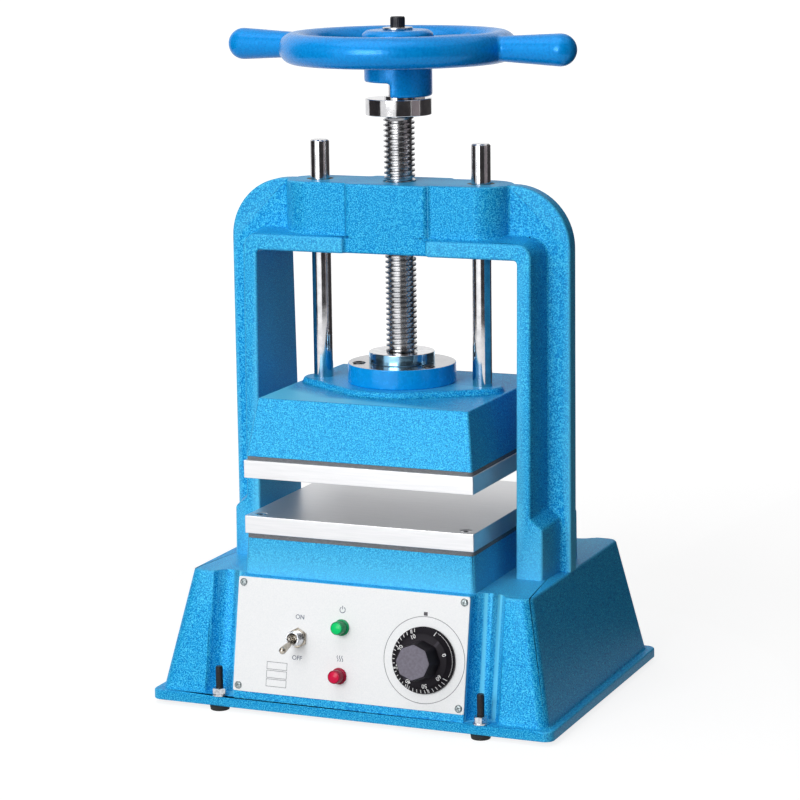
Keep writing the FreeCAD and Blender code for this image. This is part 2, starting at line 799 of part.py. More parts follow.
def rim_profile(half, top, corner, pad_half, step_low, step_high, y_low, y_high):
    """Outline of the window rim at one depth; y leans from the deck to the window top."""
    def y_at(z):
        return y_low + (y_high - y_low) * (z - deck_height) / (window_top - deck_height)

    def at(x, z):
        return vec(x, y_at(z), z)

    q = corner * (1 - math.sqrt(0.5))
    edges = []
    left = [at(-pad_half, deck_height), at(-pad_half, step_low), at(-half, step_high), at(-half, top - corner)]
    right = [at(half, top - corner), at(half, step_high), at(pad_half, step_low), at(pad_half, deck_height)]
    for a, b in zip(left, left[1:]):
        edges.append(Part.makeLine(a, b))
    edges.append(Part.Arc(left[-1], at(-half + q, top - q), at(-half + corner, top)).toShape())
    edges.append(Part.makeLine(at(-half + corner, top), at(half - corner, top)))
    edges.append(Part.Arc(at(half - corner, top), at(half - q, top - q), right[0]).toShape())
    for a, b in zip(right, right[1:]):
        edges.append(Part.makeLine(a, b))
    edges.append(Part.makeLine(right[-1], left[0]))
    return Part.Wire(edges)


def window_rim(sign, low, high):
    face_half = window_half + rim_thick
    root_half = face_half + rim_root_extra
    face_top = window_top + rim_top_thick
    root_top = face_top + rim_root_rise
    step = deck_height + pad_rise
    face = rim_profile(face_half, face_top, rim_corner, face_half + pad_extra, step, step + pad_slope,
                       sign * low, sign * high)
    step += rim_root_extra + 1.0
    root = rim_profile(root_half, root_top, rim_corner + rim_root_extra, root_half + pad_extra, step, step + pad_slope, 0.0, 0.0)
    return Part.makeLoft([root, face], True, True)


def arch_frame():
    front = window_rim(-1, rim_front_bottom, rim_front_top)
    back = window_rim(1, rim_back_bottom, rim_back_top)
    low = window_top - 20
    high = arch_top - 20
    rims = joined([front, back])
    rims = rims.cut(group([
        block(-centre_boss_half + 0.5, centre_boss_half - 0.5, -60, -centre_boss_front, low, high),
        block(-centre_boss_half + 0.5, centre_boss_half - 0.5, centre_boss_back, 60, low, high)]))
    centre = rounded_block(-centre_boss_half, centre_boss_half, -centre_boss_front, centre_boss_back, 5.0,
                           window_top, arch_top)
    bosses = [rod(guide_boss_radius, sx * rod_spacing / 2, 0, window_top + rim_top_thick - 3, arch_top)
              for sx in (-1, 1)]
    bridge = rod_spacing / 2
    bosses.append(block(-bridge, bridge, -guide_boss_radius, guide_boss_radius,
                        window_top + rim_top_thick - 3, arch_top))
    bosses.append(block(-bridge, bridge, -web_half_thick - 6, web_half_thick + 6, window_top + 1, arch_top))
    body = joined([arch_web(), rims, centre] + bosses)
    window = rounded_wire(-window_half, window_half, deck_height - 20, window_top, 3.0, 0)
    through = rim_back_bottom + 10
    cut = Part.Face(window).extrude(vec(0, 0, 2 * through))
    cut.rotate(vec(0, 0, 0), vec(1, 0, 0), 90)
    cut.translate(vec(0, through, 0))
    cuts = [cut]
    for sx in (-1, 1):
        cuts.append(rod(rod_radius + rod_fit + bushing_wall, sx * rod_spacing / 2, 0, window_top - 1, arch_top + 1))
    cuts.append(rod(nut_radius, 0, 0, window_top - 1, arch_top - nut_shoulder))
    cuts.append(rod(screw_radius + 0.8, 0, 0, arch_top - nut_shoulder - 1, arch_top + 1))
    for x, y in arch_bolt_spots():
        cuts.append(rod(arch_bolt_radius + 0.05, x, y, deck_height - 1, deck_height + arch_bolt_reach + 2))
    return body.cut(group(cuts)).removeSplitter()


def arch_bolts():
    z = deck_height - deck_thick - arch_washer_thick
    out = []
    for x, y in arch_bolt_spots():
        head = hexagon(arch_bolt_flats, x, y, z - arch_bolt_head, z)
        shank = rod(arch_bolt_radius, x, y, z, deck_height + arch_bolt_reach)
        out.append(head.fuse(shank).removeSplitter())
    return group(out)


def arch_bolt_washers():
    z = deck_height - deck_thick - arch_washer_thick
    out = []
    for x, y in arch_bolt_spots():
        hole = rod(arch_bolt_radius + 0.2, x, y, z - 1, z + 3)
        out.append(rod(2 * arch_bolt_radius, x, y, z, z + arch_washer_thick).cut(hole))
    return group(out)


def screw_nut():
    body = rod(nut_radius, 0, 0, window_top + 0.2, arch_top - nut_shoulder)
    return body.cut(rod(screw_radius + screw_fit, 0, 0, window_top - 1, arch_top))


def guide_bushing(side):
    x = side * rod_spacing / 2
    r = rod_radius + rod_fit
    sleeve = rod(r + bushing_wall, x, 0, window_top + 0.2, arch_top - 0.2)
    return sleeve.cut(rod(r, x, 0, window_top - 1, arch_top + 1))


# carriage: upper housing, platen, rods and the screw retainer

def upper_housing():
    body = tapered_block((-upper_bottom_x, upper_bottom_x, -upper_bottom_y, upper_bottom_y),
                         (-upper_top_x, upper_top_x, -upper_top_y, upper_top_y),
                         2.0, 2.0, upper_housing_bottom, upper_housing_top)
    body = joined([body, housing_pad()])
    hollow = rounded_block(-cavity_half_x, cavity_half_x, -cavity_half_y, cavity_half_y, cavity_corner,
                           upper_housing_bottom - 1, upper_housing_bottom + upper_cavity_depth)
    cuts = [hollow]
    for sx in (-1, 1):
        cuts.append(rod(rod_radius + 0.03, sx * rod_spacing / 2, 0, pad_top - rod_seat_depth, pad_top + 1))
    cuts.append(rod(thrust_radius + 0.3, 0, 0, pad_top - thrust_thick, pad_top + 1))
    cuts += [rod(2.55, x, y, upper_housing_bottom - 1, upper_platen_bottom + platen_screw_length + 1)
             for x, y in four(platen_screw_x, -platen_screw_y, platen_screw_y)]
    cuts += [rod(3.02, x, y, pad_top - 12, pad_top + 1) for x, y in retainer_screw_spots()]
    cuts.append(out_of_housing(rod(grommet_radius, 0, 0, -cavity_rim - 2, 3)))
    return body.cut(group(cuts))


def housing_pad():
    """Raised seat shaped as a round pad drawn out to a lobe at each guide rod."""
    half = rod_spacing / 2
    z0 = upper_housing_top - 1
    big = cone(pad_radius + 1.4, pad_radius - 2.2, 0, 0, z0, pad_top)
    lobes = [cone(pad_lobe_radius + 1.4, pad_lobe_radius - 1.2, sx * half, 0, z0, pad_top) for sx in (-1, 1)]
    slant = math.acos((pad_radius - pad_lobe_radius) / half)
    out = [big] + lobes
    for sx in (-1, 1):
        low = tangent_points(sx, half, slant, 1.4, 1.4, z0)
        high = tangent_points(sx, half, slant, -2.2, -1.2, pad_top)
        out.append(Part.makeLoft([Part.makePolygon(low + [low[0]]), Part.makePolygon(high + [high[0]])], True, True))
    return joined(out)


def tangent_points(sx, half, slant, grow_big, grow_small, z):
    big = pad_radius + grow_big
    small = pad_lobe_radius + grow_small
    points = []
    for sy in (-1, 1):
        points.append(vec(sx * big * math.cos(slant), sy * big * math.sin(slant), z))
        points.append(vec(sx * (half + small * math.cos(slant)), sy * small * math.sin(slant), z))
    return [points[0], points[1], points[3], points[2]]


def retainer_screw_spots():
    return [(retainer_screw_circle * math.cos(math.radians(a)), retainer_screw_circle * math.sin(math.radians(a)))
            for a in retainer_screw_angles]


def upper_heater():
    return cavity_block(4.0, upper_platen_top, upper_platen_top + heater_thick)


def upper_insulation():
    z = upper_housing_bottom + upper_cavity_depth
    return cavity_block(1.0, z - upper_insulation_thick, z)


def guide_rod(side):
    x = side * rod_spacing / 2
    top = arch_top + rod_stickout
    body = rod(rod_radius, x, 0, pad_top - rod_seat_depth, top - 1.0)
    return joined([body, cone(rod_radius, rod_radius - 1.0, x, 0, top - 1.0, top)])


def thrust_washer():
    return rod(thrust_radius, 0, 0, pad_top - thrust_thick, pad_top)


def screw_retainer():
    body = rod(retainer_radius, 0, 0, pad_top, retainer_top)
    cuts = [rod(thrust_radius + 0.6, 0, 0, pad_top - 1, pad_top + screw_foot_thick + 0.2),
            rod(neck_radius + 0.03, 0, 0, pad_top, retainer_top + 1)]
    for x, y in retainer_screw_spots():
        cuts.append(rod(3.3, x, y, pad_top - 1, retainer_top + 1))
        cuts.append(rod(5.5, x, y, retainer_top - 5.2, retainer_top + 1))
    return body.cut(group(cuts))


def retainer_ring():
    """Steel ring whose neck is pressed into the retainer; it steadies the foot of the screw."""
    head = rod(ring_radius, 0, 0, retainer_top, ring_top)
    neck = rod(neck_radius, 0, 0, retainer_top - 6.5, retainer_top)
    return joined([head, neck]).cut(rod(screw_radius + screw_fit, 0, 0, pad_top, ring_top + 1))


def retainer_screws():
    out = []
    z = retainer_top - 5.2
    for x, y in retainer_screw_spots():
        head = rod(5.0, x, y, z, z + 6.0).cut(hexagon(5.0, x, y, z + 2.6, z + 7))
        out.append(joined([head, rod(3.0, x, y, pad_top - 11.5, z)]))
    return group(out)


# screw and hand wheel

def power_screw():
    """Screw blank at its outside diameter: thrust foot, neck, threaded length, top journal."""
    foot = rod(thrust_radius, 0, 0, pad_top + 0.05, pad_top + screw_foot_thick)
    thread = rod(screw_radius, 0, 0, pad_top + screw_foot_thick, collar_bottom)
    journal = rod(spindle_radius, 0, 0, collar_bottom, hub_top() + 0.2)
    body = joined([foot, thread, journal])
    z = hub_top() - 20
    body = body.cut(rod(cap_screw_radius + 0.05, 0, 0, z, hub_top() + 1))
    pin = rod_between(pin_radius + 0.03, vec(0, spindle_radius - 5, pin_height()), vec(0, 60, pin_height()))
    return body.cut(pin)


def hub_top():
    return wheel_height + hub_rise


def pin_height():
    return collar_bottom + collar_thick / 2


def drive_collar():
    body = rod(collar_radius, 0, 0, collar_bottom, collar_top)
    dog = sector(hub_radius - 0.4, collar_dog_start, collar_dog_end, collar_top - 1, collar_top + hub_gap - 0.3)
    rest = rod(spindle_radius + 3.5, 0, 0, collar_top - 1, collar_top + dog_gap)
    body = joined([body, dog, rest])
    body = body.cut(rod(spindle_radius + 0.01, 0, 0, collar_bottom - 1, collar_top + hub_gap + 2))
    pin = rod_between(pin_radius + 0.02, vec(0, spindle_radius - 5, pin_height()), vec(0, 60, pin_height()))
    return body.cut(pin)


def collar_pin():
    return rod_between(pin_radius, vec(0, spindle_radius - 4.9, pin_height()), vec(0, collar_radius - 0.6, pin_height()))


def wheel_washer():
    z = hub_top() + 0.2
    return rod(12.1, 0, 0, z, z + 1.8).cut(rod(4.2, 0, 0, z - 1, z + 3))


def wheel_cap_screw():
    z = hub_top() + 2.0
    head = rod(5.95, 0, 0, z, z + 7.6)
    head = joined([head, cone(5.95, 5.2, 0, 0, z + 7.6, z + 8.4)])
    head = head.cut(hexagon(6.4, 0, 0, z + 4.0, z + 9))
    return joined([head, rod(cap_screw_radius, 0, 0, z - 20, z)])


def handle(side):
    """One lever, turned about its own length: slim at the rim, swelling to a rounded end."""
    start = rim_radius + 4
    swell_x = handle_end - handle_swell
    outline = [vec(start, 0, 0), vec(start, 0, handle_root), vec(swell_x, 0, handle_swell)]
    edges = [Part.makeLine(outline[0], outline[1]), Part.makeLine(outline[1], outline[2])]
    slant = handle_swell * math.sqrt(0.5)
    mid = vec(swell_x + slant, 0, slant)
    edges.append(Part.Arc(outline[2], mid, vec(handle_end, 0, 0)).toShape())
    edges.append(Part.makeLine(vec(handle_end, 0, 0), outline[0]))
    solid = Part.Face(Part.Wire(edges)).revolve(vec(0, 0, 0), vec(1, 0, 0), 360)
    solid = Part.Solid(solid) if solid.ShapeType != "Solid" else solid
    turn = handle_angle if side > 0 else handle_angle + 180
    solid.rotate(vec(0, 0, 0), vec(0, 0, 1), turn)
    solid.translate(vec(0, 0, wheel_height))
    return solid


def spoke(angle):
    start = hub_radius - 7
    wire = Part.Wire(Part.Ellipse(vec(0, 0, 0), spoke_half_width, spoke_half_height).toShape())
    solid = Part.Face(wire).extrude(vec(0, 0, rim_radius - start))
    solid.rotate(vec(0, 0, 0), vec(0, 0, 1), 90)
    solid.rotate(vec(0, 0, 0), vec(0, 1, 0), 90)
    solid.translate(vec(start, 0, wheel_height))
    solid.rotate(vec(0, 0, 0), vec(0, 0, 1), angle)
    return solid


def handwheel():
    low = collar_top + hub_gap
    rim = Part.makeTorus(rim_radius, rim_section, vec(0, 0, wheel_height))
    barrel = rod(hub_radius, 0, 0, low, wheel_height - 2)
    cap = rod(hub_cap_radius, 0, 0, wheel_height - 8, hub_top() - 3)
    bevel = cone(hub_cap_radius, hub_cap_radius - 4, 0, 0, hub_top() - 3, hub_top())
    dog = sector(hub_radius, hub_dog_start, hub_dog_end, collar_top + dog_gap, low + 1)
    pieces = [rim, barrel, cap, bevel, dog]
    pieces += [spoke(a) for a in (60, 180, 300)]
    pieces += [handle(1), handle(-1)]
    bore = rod(spindle_radius + 0.05, 0, 0, collar_top, hub_top() + 1)
    return joined(pieces).cut(bore)


def build_all():
    lower_screw_end = lower_platen_top - platen_screw_length
    upper_screw_end = upper_platen_bottom + platen_screw_length
    nodes = {
        "base_casting": base_casting(),
        "bottom_cover": bottom_cover(),
        "cover_screws": cover_screws(),
        "rubber_feet": rubber_feet(),
        "foot_studs": foot_studs(),
        "foot_washers": foot_washers(),
        "foot_nuts": foot_nuts(),
        "control_panel": control_panel(),
        "panel_screws": panel_screws(),
        "switch_body": switch_body(),
        "switch_nut": switch_nut(),
        "toggle_lever": toggle_lever(),
        "lamp_bezels": lamp_bezels(),
        "green_lens": lamp_lens(green_v),
        "red_lens": lamp_lens(red_v),
        "lamp_bodies": lamp_bodies(),
        "thermostat_body": thermostat_body(),
        "thermostat_bulb": thermostat_bulb(),
        "dial_shaft": dial_shaft(),
        "dial_skirt": dial_skirt(),
        "knob_grip": knob_grip(),
        "terminal_block": terminal_block(),
        "inlet_gland": inlet_gland(),
        "deck_grommet": deck_grommet(),
        "lower_housing": lower_housing(),
        "lower_housing_bolts": lower_housing_bolts(),
        "lower_insulation": lower_insulation(),
        "lower_heater": lower_heater(),
        "lower_gasket": gasket(lower_top_x, lower_top_y, lower_gasket_bottom, lower_platen_bottom),
        "lower_platen": platen(lower_platen_bottom, lower_platen_top, lower_platen_top, lower_screw_end),
        "lower_platen_screws": platen_screws(lower_platen_top, lower_screw_end),
        "arch_frame": arch_frame(),
        "arch_bolts": arch_bolts(),
        "arch_bolt_washers": arch_bolt_washers(),
        "screw_nut": screw_nut(),
        "guide_bushing_left": guide_bushing(-1),
        "guide_bushing_right": guide_bushing(1),
        "upper_housing": upper_housing(),
        "housing_grommet": housing_grommet(),
        "upper_insulation": upper_insulation(),
        "upper_heater": upper_heater(),
        "upper_gasket": gasket(upper_bottom_x, upper_bottom_y, upper_platen_top, upper_housing_bottom),
        "upper_platen": platen(upper_platen_bottom, upper_platen_top, upper_platen_bottom, upper_screw_end),
        "upper_platen_screws": platen_screws(upper_platen_bottom, upper_screw_end),
        "guide_rod_left": guide_rod(-1),
        "guide_rod_right": guide_rod(1),
        "thrust_washer": thrust_washer(),
        "screw_retainer": screw_retainer(),
        "retainer_ring": retainer_ring(),
        "retainer_screws": retainer_screws(),
        "power_screw": power_screw(),
        "drive_collar": drive_collar(),
        "collar_pin": collar_pin(),
        "wheel_washer": wheel_washer(),
        "wheel_cap_screw": wheel_cap_screw(),
        "handwheel": handwheel(),
    }
    os.makedirs("parts", exist_ok=True)
    for name, shape in nodes.items():
        shape.exportStep("parts/" + name + ".step")
        box = shape.BoundBox
        print(name, len(shape.Solids), shape.isValid(),
              round(box.XMin, 1), round(box.XMax, 1), round(box.YMin, 1), round(box.YMax, 1),
              round(box.ZMin, 1), round(box.ZMax, 1))


build_all()
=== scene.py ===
import bmesh
import bpy
import math
from mathutils import Matrix, Vector


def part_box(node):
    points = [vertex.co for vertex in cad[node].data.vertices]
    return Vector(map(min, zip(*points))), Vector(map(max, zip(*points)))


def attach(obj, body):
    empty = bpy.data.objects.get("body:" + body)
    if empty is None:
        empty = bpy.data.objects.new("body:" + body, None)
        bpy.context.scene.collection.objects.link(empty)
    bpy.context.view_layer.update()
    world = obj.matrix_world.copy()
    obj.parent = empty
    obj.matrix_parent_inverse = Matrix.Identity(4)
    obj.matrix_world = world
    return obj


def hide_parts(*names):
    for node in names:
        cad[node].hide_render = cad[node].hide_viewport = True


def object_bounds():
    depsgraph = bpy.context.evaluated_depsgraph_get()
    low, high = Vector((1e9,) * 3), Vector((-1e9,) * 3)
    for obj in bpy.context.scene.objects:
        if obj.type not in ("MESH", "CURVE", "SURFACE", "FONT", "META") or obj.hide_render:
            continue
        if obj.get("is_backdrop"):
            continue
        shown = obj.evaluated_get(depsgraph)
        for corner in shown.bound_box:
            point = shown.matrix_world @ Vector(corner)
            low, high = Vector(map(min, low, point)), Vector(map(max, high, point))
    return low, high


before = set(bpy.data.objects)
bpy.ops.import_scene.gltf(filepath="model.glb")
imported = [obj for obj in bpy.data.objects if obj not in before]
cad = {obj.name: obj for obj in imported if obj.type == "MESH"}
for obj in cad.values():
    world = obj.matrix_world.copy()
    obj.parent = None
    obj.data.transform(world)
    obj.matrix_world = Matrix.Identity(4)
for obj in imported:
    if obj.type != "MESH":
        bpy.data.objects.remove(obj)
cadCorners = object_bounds()
mm = 0.001
white = (1.0, 1.0, 1.0, 1.0)
print("stage: frame loaded,", len(cad), "nodes")


# helpers for node trees of both kinds

def addObject(name, data):
    obj = bpy.data.objects.new(name, data)
    bpy.context.scene.collection.objects.link(obj)
    return obj


def newMaterial(name, inputs):
    mat = bpy.data.materials.new(name)
    mat.use_nodes = True
    shader = mat.node_tree.nodes["Principled BSDF"]
    for label, value in inputs.items():
        shader.inputs[label].default_value = value
    return mat, mat.node_tree, shader


def feed(tree, socket, value):
    # a socket takes a link or a constant
    if hasattr(value, "is_output"):
        tree.links.new(value, socket)
    else:
        socket.default_value = value


def calc(tree, kind, *values):
    node = tree.nodes.new("ShaderNodeMath")
    node.operation = kind
    for socket, value in zip(node.inputs, values):
        feed(tree, socket, value)
    return node.outputs[0]


def combine(tree, *parts):
    node = tree.nodes.new("ShaderNodeCombineXYZ")
    for socket, part in zip(node.inputs, parts):
        feed(tree, socket, part)
    return node.outputs[0]


def mapRange(tree, value, span, out):
    # carries a value from one span to another
    node = tree.nodes.new("ShaderNodeMapRange")
    for label, end in zip(("Value", "From Min", "From Max", "To Min", "To Max"), (value, *span, *out)):
        feed(tree, node.inputs[label], end)
    return node.outputs["Result"]


# camera at the photograph's place, pale floor, soft light

studio = {
    "cameraAt": (0.88583, -2.10125, 0.66949),
    "cameraRight": (0.92199, 0.38699, -0.01303),
    "cameraForward": (-0.38252, 0.90510, -0.18567),
    "lens": 128.42,
    "sensor": 36.0,
    "ambient": (0.03, 0.45),               # darkest and brightest part of the room
    "ambientSpan": (-0.6, 1.0),
    "ambientFrom": (-0.65, 0.30, 0.70),
    "floorHalf": 30.0,
    "floorWhite": 0.26,
    "floorLift": (0.82, 0.97),             # near the object and far from it
    "floorReach": (0.45, 1.6),
    "softboxes": {                         # place, size, watts, height aimed at
        "keyLight": ((-0.30, -2.40, 0.95), 1.2, 41.0, 0.25),
        "sideLight": ((-1.9, -1.5, 1.3), 1.2, 5.0, 0.25),
        "topLight": ((-0.25, -0.5, 1.9), 1.3, 8.0, 0.3),
    },
}


def addSoftbox(name, at, size, watts, height):
    lamp = bpy.data.lights.new(name, "AREA")
    lamp.shape = "SQUARE"
    lamp.size = size
    lamp.energy = watts
    obj = addObject(name, lamp)
    obj.location = at
    obj.rotation_euler = (Vector((0, 0, height)) - obj.location).to_track_quat("-Z", "Y").to_euler()


def rayMask(tree):
    # 1 where the ray comes from the camera, a reflection or glass
    ray = tree.nodes.new("ShaderNodeLightPath").outputs
    seen = calc(tree, "MAXIMUM", ray["Is Camera Ray"], ray["Is Glossy Ray"])
    return calc(tree, "MAXIMUM", seen, ray["Is Transmission Ray"])


def buildCamera(s):
    cam = bpy.data.cameras.new("photoCamera")
    cam.sensor_width = s["sensor"]
    cam.lens = s["lens"]
    cam.clip_end = 80.0
    obj = addObject("photoCamera", cam)
    right = Vector(s["cameraRight"]).normalized()
    back = -Vector(s["cameraForward"]).normalized()
    turn = Matrix((right, back.cross(right), back)).transposed().to_4x4()
    obj.matrix_world = Matrix.Translation(Vector(s["cameraAt"])) @ turn
    bpy.context.scene.camera = obj
    bpy.context.scene.view_settings.view_transform = "Standard"


def buildRoom(s):
    world = bpy.data.worlds.new("paleRoom")
    world.use_nodes = True
    tree = world.node_tree
    coords = tree.nodes.new("ShaderNodeTexCoord")
    facing = tree.nodes.new("ShaderNodeVectorMath")
    facing.operation = "DOT_PRODUCT"
    facing.inputs[1].default_value = s["ambientFrom"]
    tree.links.new(coords.outputs["Generated"], facing.inputs[0])
    room = mapRange(tree, facing.outputs["Value"], s["ambientSpan"], s["ambient"])
    sky = tree.nodes["Background"]
    sky.inputs["Color"].default_value = white
    feed(tree, sky.inputs["Strength"], mapRange(tree, rayMask(tree), (0.0, 1.0), (room, 1.0)))
    bpy.context.scene.world = world


def buildFloor(s):
    half = s["floorHalf"]
    mesh = bpy.data.meshes.new("floor")
    mesh.from_pydata([(-half, -half, 0), (half, -half, 0), (half, half, 0), (-half, half, 0)], [], [(0, 1, 2, 3)])
    mat, tree, shader = newMaterial("paleFloor", {
        "Base Color": (*[s["floorWhite"]] * 3, 1.0), "Roughness": 0.9, "Specular IOR Level": 0.1,
        "Emission Color": white})
    coords = tree.nodes.new("ShaderNodeTexCoord")
    away = tree.nodes.new("ShaderNodeVectorMath")
    away.operation = "LENGTH"
    tree.links.new(coords.outputs["Object"], away.inputs[0])
    lift = mapRange(tree, away.outputs["Value"], s["floorReach"], s["floorLift"])
    feed(tree, shader.inputs["Emission Strength"], calc(tree, "MULTIPLY", rayMask(tree), lift))
    mesh.materials.append(mat)
    addObject("floor", mesh)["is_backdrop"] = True


flags = {                       # degrees round the object from the front, towards +X, and how dark
    "left": (-98.0, -42.0, 0.06),
    "front": (14.0, 65.0, 0.05),
    "right": (66.0, 99.0, 0.45),
    "back": (100.0, 172.0, 0.04),
    "tint": (1.0, 0.86, 0.9),
    "steps": 16,
    "foot": 0.32,
    "radius": 1.15,
    "low": 0.003,
    "height": 1.6,
}


def addFlag(name, f):
    # dark curved card beside the object that only reflections see; the back one has a floor part too
    start, stop, grey = f[name]
    corners = []
    faces = []
    for k in range(f["steps"] + 1):
        a = math.radians(start + (stop - start) * k / f["steps"])
        for r, z in ((f["foot"], f["low"]), (f["radius"], f["low"]), (f["radius"], f["height"])):
            corners.append((r * math.sin(a), -r * math.cos(a), z))
    for k in range(f["steps"]):
        for i in ((0, 1) if name == "back" else (1,)):
            faces.append((3 * k + i, 3 * k + 3 + i, 3 * k + 4 + i, 3 * k + 1 + i))
    mesh = bpy.data.meshes.new(name + "Flag")
    mesh.from_pydata(corners, [], faces)
    mesh.materials.append(newMaterial(name + "Flag", {"Base Color": (*[grey * t for t in f["tint"]], 1.0)})[0])
    card = addObject(name + "Flag", mesh)
    card.visible_camera = False
    card.visible_diffuse = False
    card.visible_shadow = False
    card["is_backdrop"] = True


buildCamera(studio)
buildRoom(studio)
buildFloor(studio)
for lampName, row in studio["softboxes"].items():
    addSoftbox(lampName, *row)
for side in ("left", "front", "right", "back"):
    addFlag(side, flags)
print("stage: studio")


# materials; every pattern reads Object coordinates, in metres, and colours are typed as screen colours 0-255

def linear(colour):
    # screen colour as the linear colour a shader takes
    shares = [c / 255.0 for c in colour]
    return (*[c / 12.92 if c <= 0.04045 else ((c + 0.055) / 1.055) ** 2.4 for c in shares], 1.0)


def pattern(tree, kind, inputs, settings=None):
    coords = tree.nodes.new("ShaderNodeTexCoord")
    node = tree.nodes.new("ShaderNode" + kind)
    for name, value in (settings or {}).items():
        setattr(node, name, value)
    for label, value in inputs.items():
        node.inputs[label].default_value = value
    tree.links.new(coords.outputs["Object"], node.inputs["Vector"])
    return node.outputs


def grain(tree, scale, detail=2.0, stretch=(1, 1, 1)):
    noise = tree.nodes.new("ShaderNodeTexNoise")
    noise.inputs["Scale"].default_value = scale
    noise.inputs["Detail"].default_value = detail
    tree.links.new(pattern(tree, "Mapping", {"Scale": stretch})["Vector"], noise.inputs["Vector"])
    return noise.outputs["Fac"]


def ramp(tree, value, stops):
    node = tree.nodes.new("ShaderNodeValToRGB")
    marks = node.color_ramp.elements
    while len(marks) < len(stops):
        marks.new(0.5)
    for mark, (place, colour) in zip(marks, stops):
        mark.position = place
        mark.color = colour
    tree.links.new(value, node.inputs["Fac"])
    return node.outputs["Color"]


def spread(tree, noise, low, high):
    # most of a noise lies between 0.3 and 0.7
    return mapRange(tree, noise, (0.3, 0.7), (low, high))


def addBump(tree, shader, height, strength, depth, under=None):
    node = tree.nodes.new("ShaderNodeBump")
    node.inputs["Strength"].default_value = strength
    node.inputs["Distance"].default_value = depth
    tree.links.new(height, node.inputs["Height"])
    if under is not None:
        tree.links.new(under, node.inputs["Normal"])
    tree.links.new(node.outputs["Normal"], shader.inputs["Normal"])
    return node.outputs["Normal"]


def blendColours(tree, share, a, b, kind="MIX"):
    node = tree.nodes.new("ShaderNodeMix")
    node.data_type = "RGBA"
    node.blend_type = kind
    for label, value in (("Factor", share), ("A", a), ("B", b)):
        feed(tree, node.inputs[label], value)
    return node.outputs["Result"]


def paintedEdgeHighlight(tree):
    # mask for a painted highlight: 0 on flat metal, 1 along its convex edges
    shape = tree.nodes.new("ShaderNodeNewGeometry")
    return mapRange(tree, shape.outputs["Pointiness"], (0.52, 0.62), (0.0, 1.0))


hammertone = {
    "colours": ((0, 122, 196), (4, 160, 228), (80, 210, 248)),
    "stops": (0.36, 0.49, 0.63),
    # painted highlight colour laid along convex edges
    "edge": (104, 210, 248),
    "pit": (0.84, 0.88, 0.91, 1.0),
    "pitReach": 0.80,
    "dimples": {"Scale": 1100.0, "Smoothness": 0.6},
    "mottle": 1080.0,
    "rough": (0.37, 0.54),
    "dimpleBump": (0.35, 0.00010),
    "mottleBump": (0.55, 0.00015),
    "inputs": {"Metallic": 0.12, "Specular IOR Level": 0.12},
}


def hammertoneMaterial(name, h):
    mat, tree, shader = newMaterial(name, h["inputs"])
    fine = pattern(tree, "TexVoronoi", h["dimples"], {"feature": "SMOOTH_F1"})["Distance"]
    wide = grain(tree, h["mottle"])
    coat = ramp(tree, wide, [(stop, linear(c)) for stop, c in zip(h["stops"], h["colours"])])
    pits = ramp(tree, fine, [(0.0, white), (h["pitReach"], h["pit"])])
    coat = blendColours(tree, 1.0, coat, pits, "MULTIPLY")
    # painted highlight: a lighter blue laid along convex edges
    coat = blendColours(tree, paintedEdgeHighlight(tree), coat, linear(h["edge"]))
    tree.links.new(coat, shader.inputs["Base Color"])
    tree.links.new(spread(tree, wide, *h["rough"]), shader.inputs["Roughness"])
    first = addBump(tree, shader, fine, *h["dimpleBump"])
    addBump(tree, shader, wide, *h["mottleBump"], first)
    return mat


def plainMaterial(name, low, high, scale, rough, bump, depth, inputs=None, stretch=(1, 1, 1), edge=None):
    mat, tree, shader = newMaterial(name, inputs or {})
    cloud = grain(tree, scale, 3.0, stretch)
    coat = ramp(tree, cloud, [(0.32, linear(low)), (0.68, linear(high))])
    # painted highlight: the colour given as edge is laid along convex edges
    if edge is not None:
        coat = blendColours(tree, paintedEdgeHighlight(tree), coat, linear(edge))
    tree.links.new(coat, shader.inputs["Base Color"])
    tree.links.new(spread(tree, cloud, *rough), shader.inputs["Roughness"])
    addBump(tree, shader, cloud, bump, depth)
    return mat


def turnedMaterial(name, low, high, roughness, metallic=1.0, pitch=0.00035):
    # bare metal with fine rings left by the lathe, round the Z axis
    mat, tree, shader = newMaterial(name, {"Metallic": metallic})
    rings = pattern(tree, "TexWave", {"Scale": 0.32 / pitch, "Distortion": 1.2, "Detail": 1.0},
                    {"wave_type": "RINGS", "rings_direction": "Z"})
    cloud = grain(tree, 60.0, 4.0)
    tree.links.new(ramp(tree, cloud, [(0.3, linear(low)), (0.7, linear(high))]), shader.inputs["Base Color"])
    tree.links.new(spread(tree, cloud, roughness * 0.8, roughness * 1.3), shader.inputs["Roughness"])
    addBump(tree, shader, rings["Fac"], 0.12, 0.00003)
    return mat


def lensMaterial(name, deep, bright, glow):
    mat, tree, shader = newMaterial(name, {
        "Roughness": 0.22, "Specular IOR Level": 0.18, "IOR": 1.49, "Emission Color": linear(bright),
        "Emission Strength": glow})
    facing = tree.nodes.new("ShaderNodeLayerWeight")
    facing.inputs["Blend"].default_value = 0.45
    coat = ramp(tree, facing.outputs["Facing"], [(0.05, linear(bright)), (0.75, linear(deep))])
    tree.links.new(coat, shader.inputs["Base Color"])
    addBump(tree, shader, grain(tree, 500.0), 0.08, 0.00004)
    return mat


